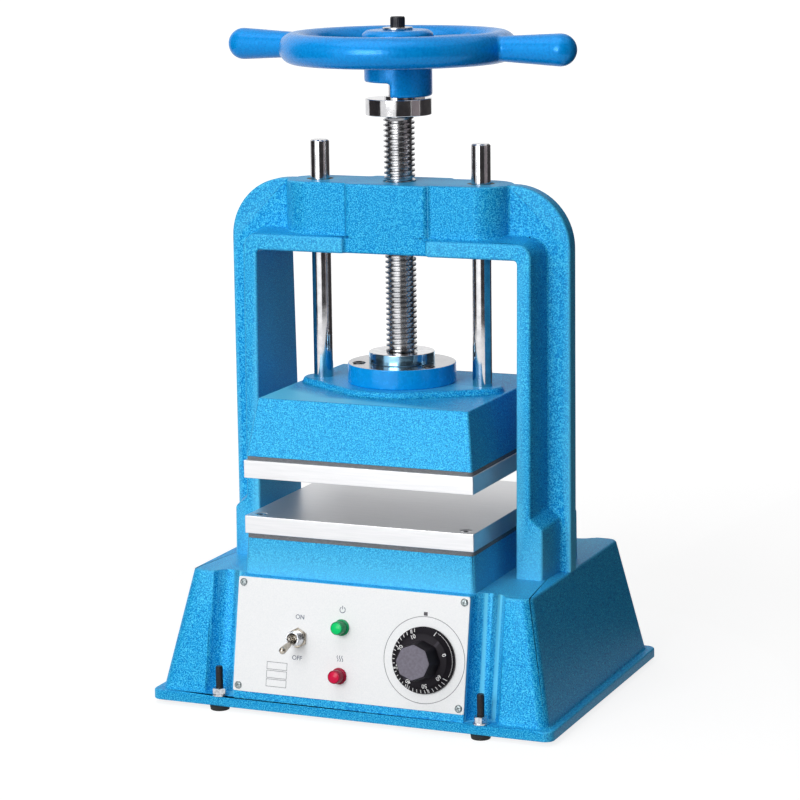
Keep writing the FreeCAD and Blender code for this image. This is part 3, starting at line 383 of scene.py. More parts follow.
even = (1, 1, 1)
metal = {"Metallic": 1.0}
finishes = {                    # two colours, pattern scale, roughness, bump and its depth, inputs, stretch, painted edge highlight colour
    "wheelBlue": ((0, 138, 222), (0, 150, 232), 420.0, (0.24, 0.32), 0.4, 0.00006, {
        "Metallic": 0.12, "Specular IOR Level": 0.16, "Coat Weight": 0.08, "Coat Roughness": 0.12}),
    "smoothBlue": ((0, 148, 226), (0, 158, 234), 220.0, (0.22, 0.3), 0.1, 0.00006, {
        "Metallic": 0.1, "Specular IOR Level": 0.2, "Coat Weight": 0.25, "Coat Roughness": 0.1}),
    "groundAluminium": ((218, 219, 221), (225, 225, 227), 120.0, (0.32, 0.37), 0.04, 0.00002, {"Metallic": 0.8},
                        (0.3, 3.0, 6.0)),
    "polishedSteel": ((196, 196, 199), (222, 221, 222), 140.0, (0.08, 0.14), 0.04, 0.00003, metal),
    # steel tinted light blue: a painted reflection of the blue retainer beside it
    "ringSteel": ((120, 176, 212), (160, 204, 230), 140.0, (0.14, 0.22), 0.05, 0.00003, metal),
    "brightZinc": ((176, 180, 186), (226, 228, 232), 400.0, (0.18, 0.32), 0.1, 0.00003, metal),
    "dullZinc": ((112, 122, 124), (160, 168, 170), 500.0, (0.3, 0.45), 0.1, 0.00003, metal),
    "nickelPlate": ((158, 150, 138), (196, 188, 176), 400.0, (0.16, 0.26), 0.1, 0.00003, metal),
    "drawnCopper": ((176, 104, 70), (208, 138, 98), 400.0, (0.2, 0.35), 0.1, 0.00003, metal),
    # black oxide with a painted highlight along its convex edges
    "blackOxide": ((24, 24, 27), (44, 44, 48), 700.0, (0.3, 0.45), 0.15, 0.00004, {"Metallic": 0.7}, even,
                   (96, 96, 100)),
    "panelWhite": ((238, 240, 242), (245, 246, 247), 900.0, (0.32, 0.4), 0.05, 0.00002, {
        "Specular IOR Level": 0.3}),
    "printBlue": ((84, 92, 112), (100, 108, 128), 1500.0, (0.4, 0.5), 0.05, 0.00002),
    "printBlack": ((44, 40, 48), (60, 56, 64), 1500.0, (0.4, 0.5), 0.05, 0.00002),
    "printGrey": ((124, 124, 130), (142, 142, 148), 1500.0, (0.4, 0.5), 0.05, 0.00002),
    # black dial plastic with a painted highlight along its convex edges
    "dialBlack": ((9, 7, 11), (19, 16, 22), 800.0, (0.44, 0.56), 0.1, 0.00003, {"Specular IOR Level": 0.09}, even,
                  (56, 52, 60)),
    "dialWhite": ((226, 226, 228), (240, 240, 240), 900.0, (0.4, 0.5), 0.05, 0.00002),
    "knobGrey": ((100, 96, 108), (116, 112, 126), 500.0, (0.4, 0.5), 0.1, 0.00003, {"Specular IOR Level": 0.3}),
    "mouldedRubber": ((20, 20, 21), (36, 36, 37), 600.0, (0.7, 0.85), 0.25, 0.00008),
    "heatBoard": ((98, 101, 106), (124, 127, 131), 420.0, (0.7, 0.85), 0.3, 0.0001, {}, (1, 1, 4)),
    "mineralBoard": ((190, 186, 174), (212, 208, 198), 350.0, (0.8, 0.95), 0.4, 0.0002),
    "castHeater": ((92, 93, 96), (128, 129, 132), 260.0, (0.45, 0.65), 0.4, 0.0002, {"Metallic": 0.8}),
    "zincSheet": ((104, 108, 114), (150, 154, 160), 120.0, (0.35, 0.55), 0.1, 0.00003, {"Metallic": 0.85}),
}
turned = {                      # two colours, roughness, metallic
    "turnedSteel": ((166, 167, 170), (204, 204, 206), 0.22),
    "bronze": ((112, 92, 66), (150, 126, 92), 0.4),
    "oiledBronze": ((44, 40, 36), (66, 58, 48), 0.5, 0.6),
}
lenses = {                      # deep colour, bright colour, glow
    "lensGreen": ((0, 118, 72), (0, 150, 92), 0.08),
    "lensRed": ((128, 0, 40), (164, 6, 54), 0.08),
    "coreGreen": ((0, 150, 84), (0, 188, 100), 0.3),
    "coreRed": ((160, 8, 46), (194, 14, 62), 0.25),
}
paint = {"hammertoneBlue": hammertoneMaterial("hammertoneBlue", hammertone)}
for make, table in ((plainMaterial, finishes), (turnedMaterial, turned), (lensMaterial, lenses)):
    for key, row in table.items():
        paint[key] = make(key, *row)
print("stage: materials", len(paint))


# mesh helpers; sizes are typed in millimetres

def heights(node):
    return [corner.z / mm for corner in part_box(node)]


def smoothByAngle(mesh, degrees=35.0):
    mesh.shade_smooth()
    mesh.set_sharp_from_angle(angle=math.radians(degrees))


def meshFrom(name, work, degrees=35.0):
    mesh = bpy.data.meshes.new(name)
    work.to_mesh(mesh)
    work.free()
    smoothByAngle(mesh, degrees)
    return mesh


def asNumber(value, angle):
    return value(angle) if callable(value) else value


def spun(name, rings, steps=64, loop=False, degrees=35.0):
    # turned about Z through rings of (radius, height); either may be a function of the angle
    work = bmesh.new()
    rows = []
    for radius, height in rings:
        if radius == 0:
            rows.append([work.verts.new((0, 0, asNumber(height, 0) * mm))])
            continue
        row = []
        for k in range(steps):
            a = 2 * math.pi * k / steps
            r = asNumber(radius, a) * mm
            row.append(work.verts.new((r * math.cos(a), r * math.sin(a), asNumber(height, a) * mm)))
        rows.append(row)
    pairs = list(zip(rows, rows[1:]))
    if loop:
        pairs.append((rows[-1], rows[0]))
    for low, high in pairs:
        for k in range(steps):
            n = (k + 1) % steps
            corners = [low[k % len(low)], low[n % len(low)], high[n % len(high)], high[k % len(high)]]
            unique = list(dict.fromkeys(corners))
            if len(unique) > 2:
                work.faces.new(unique)
    bmesh.ops.recalc_face_normals(work, faces=work.faces)
    return meshFrom(name, work, degrees)


def polygonRadius(sides, halfFlat, turn=0.0, corner=1e9):
    # radius of a polygon's outline at an angle, its corners cut at a circle
    half = math.pi / sides

    def radius(angle):
        a = (angle - turn) % (2 * half) - half
        return min(halfFlat / math.cos(a), corner)
    return radius


def roundedProfile(points, fillet, steps=3):
    # profile points with each inner corner replaced by a short arc
    out = [points[0]]
    for before, here, after in zip(points, points[1:], points[2:]):
        a = Vector(before) - Vector(here)
        b = Vector(after) - Vector(here)
        reach = min(fillet, a.length * 0.45, b.length * 0.45)
        start = Vector(here) + a.normalized() * reach
        end = Vector(here) + b.normalized() * reach
        for k in range(steps + 1):
            t = k / steps
            spot = start * (1 - t) ** 2 + Vector(here) * 2 * t * (1 - t) + end * t ** 2
            out.append((max(spot.x, 0.0), spot.y))
    out.append(points[-1])
    return out


def roundBar(name, radius, low, high, fillet, steps):
    return spun(name, roundedProfile([(0, low), (radius, low), (radius, high), (0, high)], fillet), steps)


def moved(mesh, matrix):
    mesh.transform(matrix)
    return mesh


def shifted(mesh, x=0.0, y=0.0, z=0.0):
    return moved(mesh, Matrix.Translation((x * mm, y * mm, z * mm)))


def joinMeshes(name, meshes):
    work = bmesh.new()
    mats = []
    for mesh in meshes:
        shift = {}
        for i, mat in enumerate(mesh.materials):
            if mat not in mats:
                mats.append(mat)
            shift[i] = mats.index(mat)
        before = len(work.faces)
        work.from_mesh(mesh)
        work.faces.ensure_lookup_table()
        for face in work.faces[before:]:
            face.material_index = shift.get(face.material_index, 0)
    mesh = bpy.data.meshes.new(name)
    work.to_mesh(mesh)
    work.free()
    for mat in mats:
        mesh.materials.append(mat)
    return mesh


def twoFinishes(mesh, first, second, isSecond):
    mesh.materials.clear()
    mesh.materials.append(paint[first])
    mesh.materials.append(paint[second])
    for face in mesh.polygons:
        face.material_index = 1 if isSecond(face) else 0


def evaluatedMesh(obj):
    bpy.context.view_layer.update()
    return bpy.data.meshes.new_from_object(obj.evaluated_get(bpy.context.evaluated_depsgraph_get()))


def baked(obj):
    # the object's modifiers are taken into its mesh and removed
    made = evaluatedMesh(obj)
    obj.modifiers.clear()
    obj.data = made
    made.name = obj.name
    return obj


def finishPiece(obj, body, nodes=(), finish=None):
    if finish is not None:
        obj.data.materials.clear()
        obj.data.materials.append(paint[finish])
    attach(obj, body)
    if nodes:
        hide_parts(*nodes)


def addPiece(name, mesh, body, nodes=(), finish=None):
    finishPiece(addObject(name, mesh), body, nodes, finish)


def cadCopy(name, node, flat=0.6, weld=2e-6):
    # copy of a CAD node's mesh, its loose triangles merged and its flat faces made whole
    work = bmesh.new()
    work.from_mesh(cad[node].data)
    bmesh.ops.remove_doubles(work, verts=work.verts, dist=weld)
    bmesh.ops.dissolve_degenerate(work, edges=work.edges, dist=weld)
    if flat > 0:
        bmesh.ops.dissolve_limit(work, angle_limit=math.radians(flat), verts=work.verts, edges=work.edges)
    for face in work.faces:
        face.material_index = 0
    return addObject(name, meshFrom(name, work))


def softenEdges(obj, width, keep, segments=3, sharp=28.0):
    # rounds the sharp edges that keep() picks, as a casting's or a machined edge's are
    mesh = obj.data
    work = bmesh.new()
    work.from_mesh(mesh)
    layer = work.edges.layers.float.get("bevel_weight_edge") or work.edges.layers.float.new("bevel_weight_edge")
    for edge in work.edges:
        if len(edge.link_faces) != 2 or edge.calc_face_angle(0.0) < math.radians(sharp):
            continue
        edge[layer] = keep((edge.verts[0].co + edge.verts[1].co) / (2 * mm), edge)
    work.to_mesh(mesh)
    work.free()
    bevel = obj.modifiers.new("softEdges", "BEVEL")
    bevel.limit_method = "WEIGHT"
    bevel.offset_type = "OFFSET"
    bevel.width = width * mm
    bevel.segments = segments
    bevel.profile = 0.5
    bevel.use_clamp_overlap = False
    bevel.miter_outer = "MITER_ARC"
    baked(obj)
    smoothByAngle(obj.data, 40.0)
    obj.modifiers.new("shade", "WEIGHTED_NORMAL").keep_sharp = True
    return baked(obj)


def softPiece(name, node, width, keep, body, finish, segments=3, flat=0.4):
    obj = softenEdges(cadCopy(name, node, flat), width, keep, segments)
    finishPiece(obj, body, [node], finish)
    return obj


# Geometry Nodes: the trees, with their named inputs

def newTree(name, inputs):
    tree = bpy.data.node_groups.new(name, "GeometryNodeTree")
    tree.interface.new_socket("Geometry", in_out="INPUT", socket_type="NodeSocketGeometry")
    ids = {}
    for label, kind, value in (*inputs, ("Material", "Material", None)):
        socket = tree.interface.new_socket(label, in_out="INPUT", socket_type="NodeSocket" + kind)
        if value is not None:
            socket.default_value = value
        ids[label] = socket.identifier
    tree.interface.new_socket("Geometry", in_out="OUTPUT", socket_type="NodeSocketGeometry")
    return tree, ids, tree.nodes.new("NodeGroupInput").outputs, tree.nodes.new("NodeGroupOutput")


def addNode(tree, kind, **links):
    node = tree.nodes.new("GeometryNode" + kind)
    for label, value in links.items():
        feed(tree, node.inputs[label.replace("_", " ")], value)
    return node


def endTree(tree, inp, end, geometry):
    real = addNode(tree, "RealizeInstances", Geometry=geometry)
    coat = addNode(tree, "SetMaterial", Geometry=real.outputs[0], Material=inp["Material"])
    tree.links.new(coat.outputs[0], end.inputs[0])


def runTree(name, made, values, mesh=None):
    tree, ids = made
    obj = addObject(name, mesh or bpy.data.meshes.new(name))
    mod = obj.modifiers.new("shape", "NODES")
    mod.node_group = tree
    for label, value in values.items():
        mod[ids[label]] = value
    return baked(obj)


def threadTree():
    # screw thread: a grid wound round the axis, its width one pitch tall
    tree, ids, inp, end = newTree("screwThread", [
        ("Pitch", "Float", 0.001), ("Crest", "Float", 0.003), ("Root", "Float", 0.0025), ("Bottom", "Float", 0.0),
        ("Top", "Float", 0.02), ("Steps", "Int", 32), ("Flank", "Float", 0.1667)])

    def c(kind, *values):
        return calc(tree, kind, *values)

    def clamp(value, low, high):
        return c("MINIMUM", c("MAXIMUM", value, low), high)
    height = c("SUBTRACT", inp["Top"], inp["Bottom"])
    turns = c("ADD", c("CEIL", c("DIVIDE", height, inp["Pitch"])), 3.0)
    count = c("ADD", c("MULTIPLY", turns, inp["Steps"]), 1.0)
    grid = addNode(tree, "MeshGrid", Size_X=1.0, Size_Y=1.0, Vertices_X=count, Vertices_Y=7)
    place = tree.nodes.new("GeometryNodeInputPosition")
    split = tree.nodes.new("ShaderNodeSeparateXYZ")
    tree.links.new(place.outputs[0], split.inputs[0])
    along = c("MULTIPLY", c("ADD", split.outputs[0], 0.5), turns)
    across = c("ADD", split.outputs[1], 0.5)
    angle = c("MULTIPLY", along, 2 * math.pi)
    rise = c("SUBTRACT", c("ADD", along, across), 2.0)
    raw = c("ADD", c("MULTIPLY", rise, inp["Pitch"]), inp["Bottom"])
    off = c("ABSOLUTE", c("SUBTRACT", across, 0.5))
    tooth = clamp(c("DIVIDE", c("SUBTRACT", 0.3334, off), inp["Flank"]), 0.0, 1.0)
    fromLow = c("DIVIDE", c("SUBTRACT", raw, inp["Bottom"]), inp["Pitch"])
    fromHigh = c("DIVIDE", c("SUBTRACT", inp["Top"], raw), inp["Pitch"])
    near = c("MINIMUM", fromLow, fromHigh)
    inside = c("GREATER_THAN", near, -0.75)
    depth = c("MULTIPLY", c("SUBTRACT", inp["Crest"], inp["Root"]), c("MULTIPLY", tooth, clamp(near, 0.0, 1.0)))
    radius = c("MULTIPLY", c("ADD", inp["Root"], depth), inside)
    spot = combine(tree, c("MULTIPLY", radius, c("COSINE", angle)), c("MULTIPLY", radius, c("SINE", angle)),
                   clamp(raw, inp["Bottom"], inp["Top"]))
    wound = addNode(tree, "SetPosition", Geometry=grid.outputs["Mesh"], Position=spot)
    closed = addNode(tree, "MergeByDistance", Geometry=wound.outputs[0], Distance=0.000002)
    endTree(tree, inp, end, closed.outputs[0])
    return tree, ids


def scatterTree():
    # one item on every point of a mesh, each turned by its own amount
    tree, ids, inp, end = newTree("itemOnPoints", [
        ("Item", "Object", None), ("Seed", "Int", 1), ("Turn", "Float", 6.283)])
    item = addNode(tree, "ObjectInfo", Object=inp["Item"])
    turn = tree.nodes.new("FunctionNodeRandomValue")
    turn.data_type = "FLOAT"
    least, most = [s for s in turn.inputs if s.type == "VALUE" and s.enabled][:2]
    least.default_value = 0.0
    tree.links.new(inp["Turn"], most)
    tree.links.new(inp["Seed"], turn.inputs["Seed"])
    value = next(s for s in turn.outputs if s.type == "VALUE" and s.enabled)
    points = addNode(tree, "MeshToPoints", Mesh=inp["Geometry"])
    placed = addNode(tree, "InstanceOnPoints", Points=points.outputs[0], Instance=item.outputs["Geometry"],
                     Rotation=combine(tree, 0.0, 0.0, value))
    endTree(tree, inp, end, placed.outputs[0])
    return tree, ids


def tickTree():
    # printed marks set round an arc, each pointing to its centre
    tree, ids, inp, end = newTree("ticksOnArc", [
        ("Count", "Int", 12), ("Radius", "Float", 0.02), ("First", "Float", 0.0), ("Sweep", "Float", 1.0),
        ("Length", "Float", 0.002), ("Width", "Float", 0.0003), ("Thick", "Float", 0.0001)])
    index = tree.nodes.new("GeometryNodeInputIndex")
    share = calc(tree, "DIVIDE", index.outputs[0], calc(tree, "SUBTRACT", inp["Count"], 1.0))
    angle = calc(tree, "ADD", inp["First"], calc(tree, "MULTIPLY", inp["Sweep"], share))
    spot = combine(tree, calc(tree, "MULTIPLY", inp["Radius"], calc(tree, "COSINE", angle)),
                   calc(tree, "MULTIPLY", inp["Radius"], calc(tree, "SINE", angle)))
    points = addNode(tree, "Points", Count=inp["Count"], Position=spot)
    mark = addNode(tree, "MeshCube", Size=combine(tree, inp["Length"], inp["Width"], inp["Thick"]))
    placed = addNode(tree, "InstanceOnPoints", Points=points.outputs[0], Instance=mark.outputs[0],
                     Rotation=combine(tree, 0.0, 0.0, angle))
    endTree(tree, inp, end, placed.outputs[0])
    return tree, ids


threads = threadTree()
onPoints = scatterTree()
ticks = tickTree()


def scatter(name, item, spots, finish, seed, body, node, matrix=None, turn=2 * math.pi):
    # copies of item on every spot, as one plain mesh
    source = addObject(name + "Item", item)
    mesh = bpy.data.meshes.new(name)
    mesh.from_pydata([tuple(c * mm for c in s) for s in spots], [], [])
    obj = runTree(name, onPoints, {"Item": source, "Seed": seed, "Turn": turn, "Material": paint[finish]}, mesh)
    bpy.data.objects.remove(source)
    if matrix is not None:
        moved(obj.data, matrix)
    finishPiece(obj, body, [node])


def hexNut(across, height, bore, steps=48):
    # hex nut with both faces chamfered to a circle
    half = across / 2
    outline = polygonRadius(6, half, math.radians(30))
    flat = half * 0.96

    def drop(a):
        return (outline(a) - flat) * 0.5
    rings = [(bore, 0), (flat, 0), (outline, drop), (outline, lambda a: height - drop(a)), (flat, height),
             (bore, height)]
    return spun("hexNut", rings, steps, loop=True, degrees=20)


def knurled(radius, count, depth):
    return lambda a: radius - depth * (0.5 - 0.5 * math.cos(count * a))


def socketScrew(radius, height, socketFlat, length, shank):
    # socket head cap screw, knurled round the head, standing on its head's underside
    grip = knurled(radius, 24, radius * 0.05)
    hexHole = polygonRadius(6, socketFlat / 2)
    rings = [(0, -length), (shank, -length), (shank, 0), (radius * 0.96, 0), (grip, height * 0.08),
             (grip, height * 0.82), (radius * 0.97, height * 0.9), (radius * 0.9, height),
             (hexHole(0) * 1.12, height), (hexHole, height - 0.45), (hexHole, height * 0.5), (0, height * 0.42)]
    return spun("socketScrew", rings, 96, degrees=30)


print("stage: helpers and trees")


# the castings: base, arch, the two platen housings; each area is (x, lowest y, highest y)

castings = {
    "rodX": 69.85,
    "baseEdge": 1.9,
    "baseFlange": (166.0, -118.0, 133.5),
    "baseDeck": (144.5, -95.0, 113.0),
    "baseInside": (137.0, -108.0, 108.0),
    "baseOpening": 99.0,
    "flangeTop": 4.0,
    "archEdge": 2.0,
    "archScrew": 20.0,
    "archRod": 12.5,
    "housingEdge": 1.3,
    "lowerInside": (96.5, -93.0, 93.0),
    "upperFoot": (95.0, -93.0, 93.0),
    "upperTop": (89.0, -83.0, 83.0),
    "upperCorner": (88.0, 78.0),
    "seatStep": (6.0, 4.0),
    "seatScrew": 50.0,
    "seatRod": 10.0,
}


def castPiece(name, node, body, width, keep):
    softPiece(name, node, width, keep, body, "hammertoneBlue", flat=0.6)


def outside(p, area):
    x, low, high = area
    return abs(p.x) > x or p.y < low or p.y > high


def nearAxis(p, x, radius):
    return math.hypot(abs(p.x) - x, p.y) < radius


def buildBase(c):
    deck = heights("base_casting")[1]

    def keep(p, edge):
        if p.z < c["flangeTop"]:
            return 0.35 if outside(p, c["baseFlange"]) else 0.0
        if p.z > deck - 0.5:
            return 1.0 if outside(p, c["baseDeck"]) else 0.0
        opening = abs(p.x) < c["baseOpening"] and p.y < 0
        return 0.0 if opening or not outside(p, c["baseInside"]) else 0.8
    castPiece("base_body", "base_casting", "frame", c["baseEdge"], keep)


def buildArch(c):
    foot = heights("arch_frame")[0]

    def keep(p, edge):
        bores = nearAxis(p, 0, c["archScrew"]) or nearAxis(p, c["rodX"], c["archRod"])
        return 0.0 if p.z < foot + 0.6 or bores else 1.0
    castPiece("arch_body", "arch_frame", "frame", c["archEdge"], keep)


def buildHousings(c):
    lowerFoot, lowerTop = heights("lower_housing")

    def keepLower(p, edge):
        if p.z < lowerFoot + 0.4 or not outside(p, c["lowerInside"]):
            return 0.0
        return 0.45 if p.z > lowerTop - 0.5 else 1.0
    castPiece("lower_housing_body", "lower_housing", "frame", c["housingEdge"], keepLower)
    upperFoot, seat = heights("upper_housing")
    stepLow, stepHigh = [seat - drop for drop in c["seatStep"]]

    def keepUpper(p, edge):
        if p.z < upperFoot + 0.4:
            return 0.4 if outside(p, c["upperFoot"]) else 0.0
        if stepLow < p.z < stepHigh:
            return 1.0 if outside(p, c["upperTop"]) else 0.0
        if p.z > seat - 0.5:
            return 0.0 if nearAxis(p, 0, c["seatScrew"]) or nearAxis(p, c["rodX"], c["seatRod"]) else 1.2
        x, y = c["upperCorner"]
        return 1.0 if abs(p.x) > x and abs(p.y) > y else 0.0
    castPiece("upper_housing_body", "upper_housing", "carriage", c["housingEdge"], keepUpper)


buildBase(castings)
buildArch(castings)
buildHousings(castings)
print("stage: castings")


# hand wheel: one casting, its joints filled and softened

wheel = {"voxel": 1.25, "smoothing": 7}


def buildWheel(w):
    obj = cadCopy("hand_wheel", "handwheel", flat=0.0)
    remesh = obj.modifiers.new("cast", "REMESH")
    remesh.mode = "VOXEL"
    remesh.voxel_size = w["voxel"] * mm
    remesh.use_smooth_shade = True
    soften = obj.modifiers.new("soften", "SMOOTH")
    soften.factor = 0.5
    soften.iterations = w["smoothing"]
    baked(obj)
    finishPiece(obj, "wheel", ["handwheel"], "wheelBlue")


buildWheel(wheel)
print("stage: hand wheel")


# power screw with its thread, and the small parts of the hub

powerScrew = {
    "crest": 12.7,
    "root": 10.55,
    "pitch": 4.2333,
    "steps": 56,
    "overlap": 0.4,
    "journal": 8.0,
    "foot": 20.0,
    "footThick": 8.8,
}
collar = {"edge": 0.7, "bore": 12.2, "dog": (4.0, 24.0)}
capScrew = {"radius": 5.95, "socket": 6.4, "shank": 3.85, "washerBore": 4.2, "washerRadius": 12.1}


def buildScrew(s):
    low, high = heights("power_screw")
    collarLow = heights("drive_collar")[0]
    footTop = low + s["footThick"]
    thread = runTree("screw_thread", threads, {
        "Pitch": s["pitch"] * mm, "Crest": s["crest"] * mm, "Root": s["root"] * mm,
        "Bottom": (footTop - s["overlap"]) * mm, "Top": (collarLow + s["overlap"]) * mm, "Steps": s["steps"],
        "Material": paint["turnedSteel"]})
    smoothByAngle(thread.data, 25.0)
    foot = roundBar("screwFoot", s["foot"], low, footTop, 0.6, 72)
    journal = roundBar("screwJournal", s["journal"], collarLow, high, 0.5, 48)
    thread.data = joinMeshes("screw_thread", [thread.data, foot, journal])
    finishPiece(thread, "screw", ["power_screw"], "turnedSteel")


def buildCollar(c):
    dogX, dogY = c["dog"]

    def keep(p, edge):
        dog = p.y > dogY and abs(p.x) < dogX
        return 0.0 if nearAxis(p, 0, c["bore"]) or dog else 1.0
    softPiece("drive_collar_body", "drive_collar", c["edge"], keep, "screw", "polishedSteel", 2)


def buildCapScrew(s):
    low, high = heights("wheel_cap_screw")
    a, b = heights("wheel_washer")
    head = shifted(socketScrew(s["radius"], high - b, s["socket"], b - low, s["shank"]), z=b)
    addPiece("wheel_screw", head, "screw", ["wheel_cap_screw"], "blackOxide")
    bore, radius = s["washerBore"], s["washerRadius"]
    ring = spun("washer", roundedProfile([(bore, a), (radius, a), (radius, b), (bore, b)], 0.3), 64, loop=True)
    addPiece("wheel_washer_body", ring, "screw", ["wheel_washer"], "brightZinc")


buildScrew(powerScrew)
buildCollar(collar)
buildCapScrew(capScrew)
print("stage: screw and hub")


# carriage: rods, retainer, ring and its screws

rods = {"chamfer": 1.2, "fillet": 0.5}
retainer = {
    "edge": 0.9,
    "rim": 43.0,
    "ringEdge": 0.8,
    "ringRim": 26.0,
    "circle": 35.0,
    "angles": (-150, -30, 90),
    "head": (5.0, 6.0),         # radius and height
    "socket": 5.0,
    "shank": 3.0,
}


def buildRods(s):
    for side in ("left", "right"):
        low, high = [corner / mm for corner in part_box("guide_rod_" + side)]
        r = (high.x - low.x) / 2
        rings = roundedProfile([(0, low.z), (r, low.z), (r, high.z - s["chamfer"]), (r - s["chamfer"], high.z),
                                (0, high.z)], s["fillet"])
        mesh = shifted(spun("guideRod", rings, 64, degrees=30), x=(high.x + low.x) / 2)
        addPiece("rod_" + side, mesh, "carriage", ["guide_rod_" + side], "polishedSteel")


def buildRetainer(s):
    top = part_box("screw_retainer")[1].z
    obj = softPiece("retainer_body", "screw_retainer", s["edge"],
                    lambda p, edge: 0.0 if nearAxis(p, 0, s["rim"]) else 1.0, "carriage", None)
    twoFinishes(obj.data, "smoothBlue", "turnedSteel",
                lambda face: face.normal.z > 0.9 and face.center.z > top - 0.0006)
    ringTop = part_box("retainer_ring")[1].z
    ring = softPiece("ring_body", "retainer_ring", s["ringEdge"],
                     lambda p, edge: 0.4 if nearAxis(p, 0, s["ringRim"]) else 1.0, "carriage", None)
    # the ring's sides get the painted blue reflection, its top plain polished steel
    twoFinishes(ring.data, "ringSteel", "polishedSteel", lambda face: face.center.z > ringTop - 0.0003)
    low, high = heights("retainer_screws")
    radius, height = s["head"]
    z = high - height
    turns = [math.radians(a) for a in s["angles"]]
    spots = [(s["circle"] * math.cos(a), s["circle"] * math.sin(a), z) for a in turns]
    item = socketScrew(radius, height, s["socket"], z - low, s["shank"])
    scatter("retainer_cap_screws", item, spots, "blackOxide", 4, "carriage", "retainer_screws")


buildRods(rods)
buildRetainer(retainer)
print("stage: carriage")


# platens with their countersunk screws

platens = {
    "edge": 0.55,
    "rim": (98.0, -95.0, 95.0),
    "screwAt": (88.3, 85.3),
    "head": 5.2,
    "shank": 2.5,
    "socket": 3.0,
    "clearance": 0.1,
}


def countersunk(radius, shank, length, socketFlat):
    # flat head screw, its top at height 0
    hexHole = polygonRadius(6, socketFlat / 2)
    rings = [(0, -length), (shank, -length), (shank, -2.9), (radius - 0.55, -0.75), (radius - 0.6, -0.5),
             (hexHole(0) * 1.25, -0.5), (hexHole, -0.75), (hexHole, -1.9), (0, -2.1)]
    return spun("countersunk", rings, 48, degrees=30)


def buildPlatens(s):
    for level, body in (("lower", "frame"), ("upper", "carriage")):
        node = level + "_platen"
        softPiece(node + "_plate", node, s["edge"], lambda p, edge: 1.0 if outside(p, s["rim"]) else 0.0, body,
                  "groundAluminium", 2)
        low, high = heights(node)
        screwLow, screwHigh = heights(node + "_screws")
        x, y = s["screwAt"]
        item = countersunk(s["head"], s["shank"], screwHigh - screwLow - s["clearance"], s["socket"])
        spots = [(sx * x, sy * y, 0) for sx in (-1, 1) for sy in (-1, 1)]
        place = Matrix.Translation((0, 0, high * mm))
        if level == "upper":
            place = Matrix.Translation((0, 0, low * mm)) @ Matrix.Rotation(math.pi, 4, "X")
        scatter(node + "_heads", item, spots, "polishedSteel", 7, body, node + "_screws", place)


buildPlatens(platens)
print("stage: platens")


# feet: studs, nuts, washers and rubbers, once each and set at the four corners

feet = {
    "x": 112.6,
    "front": -119.5,
    "back": 133.3,
    "pitch": 1.0,
    "crest": 3.0,
    "root": 2.45,
    "nut": (10.0, 3.05),        # across flats, bore
    "washer": (3.2, 6.3),       # bore, radius
    "pad": (7.6, 8.2),          # radius at the floor and at the top
    "padBore": 3.02,
    "padFloor": 1.2,
}


def buildFeet(f):
    corners = [(sx * f["x"], y) for y in (f["front"], f["back"]) for sx in (-1, 1)]

    def atCorners(z=0.0):
        return [(x, y, z) for x, y in corners]
    low, high = heights("foot_studs")
    stud = runTree("studItem", threads, {
        "Pitch": f["pitch"] * mm, "Crest": f["crest"] * mm, "Root": f["root"] * mm, "Bottom": low * mm,
        "Top": high * mm, "Steps": 20, "Material": paint["blackOxide"]})
    smoothByAngle(stud.data, 25.0)
    scatter("threaded_studs", stud.data, atCorners(), "blackOxide", 3, "frame", "foot_studs")
    bpy.data.objects.remove(stud)
    low, high = heights("foot_nuts")
    across, bore = f["nut"]
    scatter("hex_nuts", hexNut(across, high - low, bore), atCorners(low), "brightZinc", 5, "frame",
            "foot_nuts", turn=0.5)
    low, high = heights("foot_washers")
    bore, rim = f["washer"]
    t = high - low
    ring = spun("footWasher", [(bore, 0), (rim - 0.3, 0), (rim, 0.25), (rim, t - 0.25), (rim - 0.3, t), (bore, t)],
                48, loop=True)
    scatter("flat_washers", ring, atCorners(low), "brightZinc", 6, "frame", "foot_washers")
    h = heights("rubber_feet")[1]
    bore, floor = f["padBore"], f["padFloor"]
    profile = [(0, 0), (f["pad"][0], 0), (f["pad"][1], h), (bore, h), (bore, floor), (0, floor)]
    scatter("rubber_pads", spun("rubberFoot", roundedProfile(profile, 0.5), 48), atCorners(), "mouldedRubber", 2,
            "frame", "rubber_feet")


buildFeet(feet)
print("stage: feet")


# sloping panel and what is on it; u runs right, v up the panel, w out of it

panel = {
    "lean": 10.28,
    "middle": (0.0, -114.07, 62.95),
    "halfWidth": 99.4,
    "halfHeight": 45.89,
    "edge": 0.3,
    "screwInset": 4.5,
    "screw": (3.1, 1.35),       # radius and height of the head
    "toggle": (-44.8, 1.0),
    "green": (-7.6, 12.6),
    "red": (-7.6, -25.9),
    "dial": (64.0, -6.4),
    "wordHeight": 3.6,
    "onWord": (0.8, 17.6),      # from the toggle's middle across, from the panel's middle up
    "offWord": (0.1, -15.1),
    "circle": 34.0,
    "pointer": (63.2, 28.3, 31.2),
    "boxes": (-70.7, -52.8, -20.0),
    "boxHeight": 6.2,
    "boxPitch": 6.9,
    "boxLine": 0.45,
}
lean = math.radians(panel["lean"])
panelMatrix = Matrix((
    (1, 0, 0, panel["middle"][0] * mm),
    (0, math.sin(lean), -math.cos(lean), panel["middle"][1] * mm),
    (0, math.cos(lean), math.sin(lean), panel["middle"][2] * mm),
    (0, 0, 0, 1)))


def crossScrew(radius, height):
    # round head with a cross recess
    def slot(a):
        near = min(abs(math.sin(a)), abs(math.cos(a)))
        return 0.9 if near > 0.28 else 0.9 + (0.28 - near) / 0.28 * 1.15
    rings = [(0, -6.0), (1.5, -6.0), (1.5, 0.0), (radius * 0.98, 0.0), (radius, 0.25)]
    rings += [(radius * math.cos(t), height * math.sin(t) + 0.25) for t in (0.45, 0.85)]
    rings += [(slot, height * 0.98), (lambda a: slot(a) * 0.8, height * 0.35), (0, height * 0.2)]
    return spun("crossScrew", rings, 64, degrees=25)


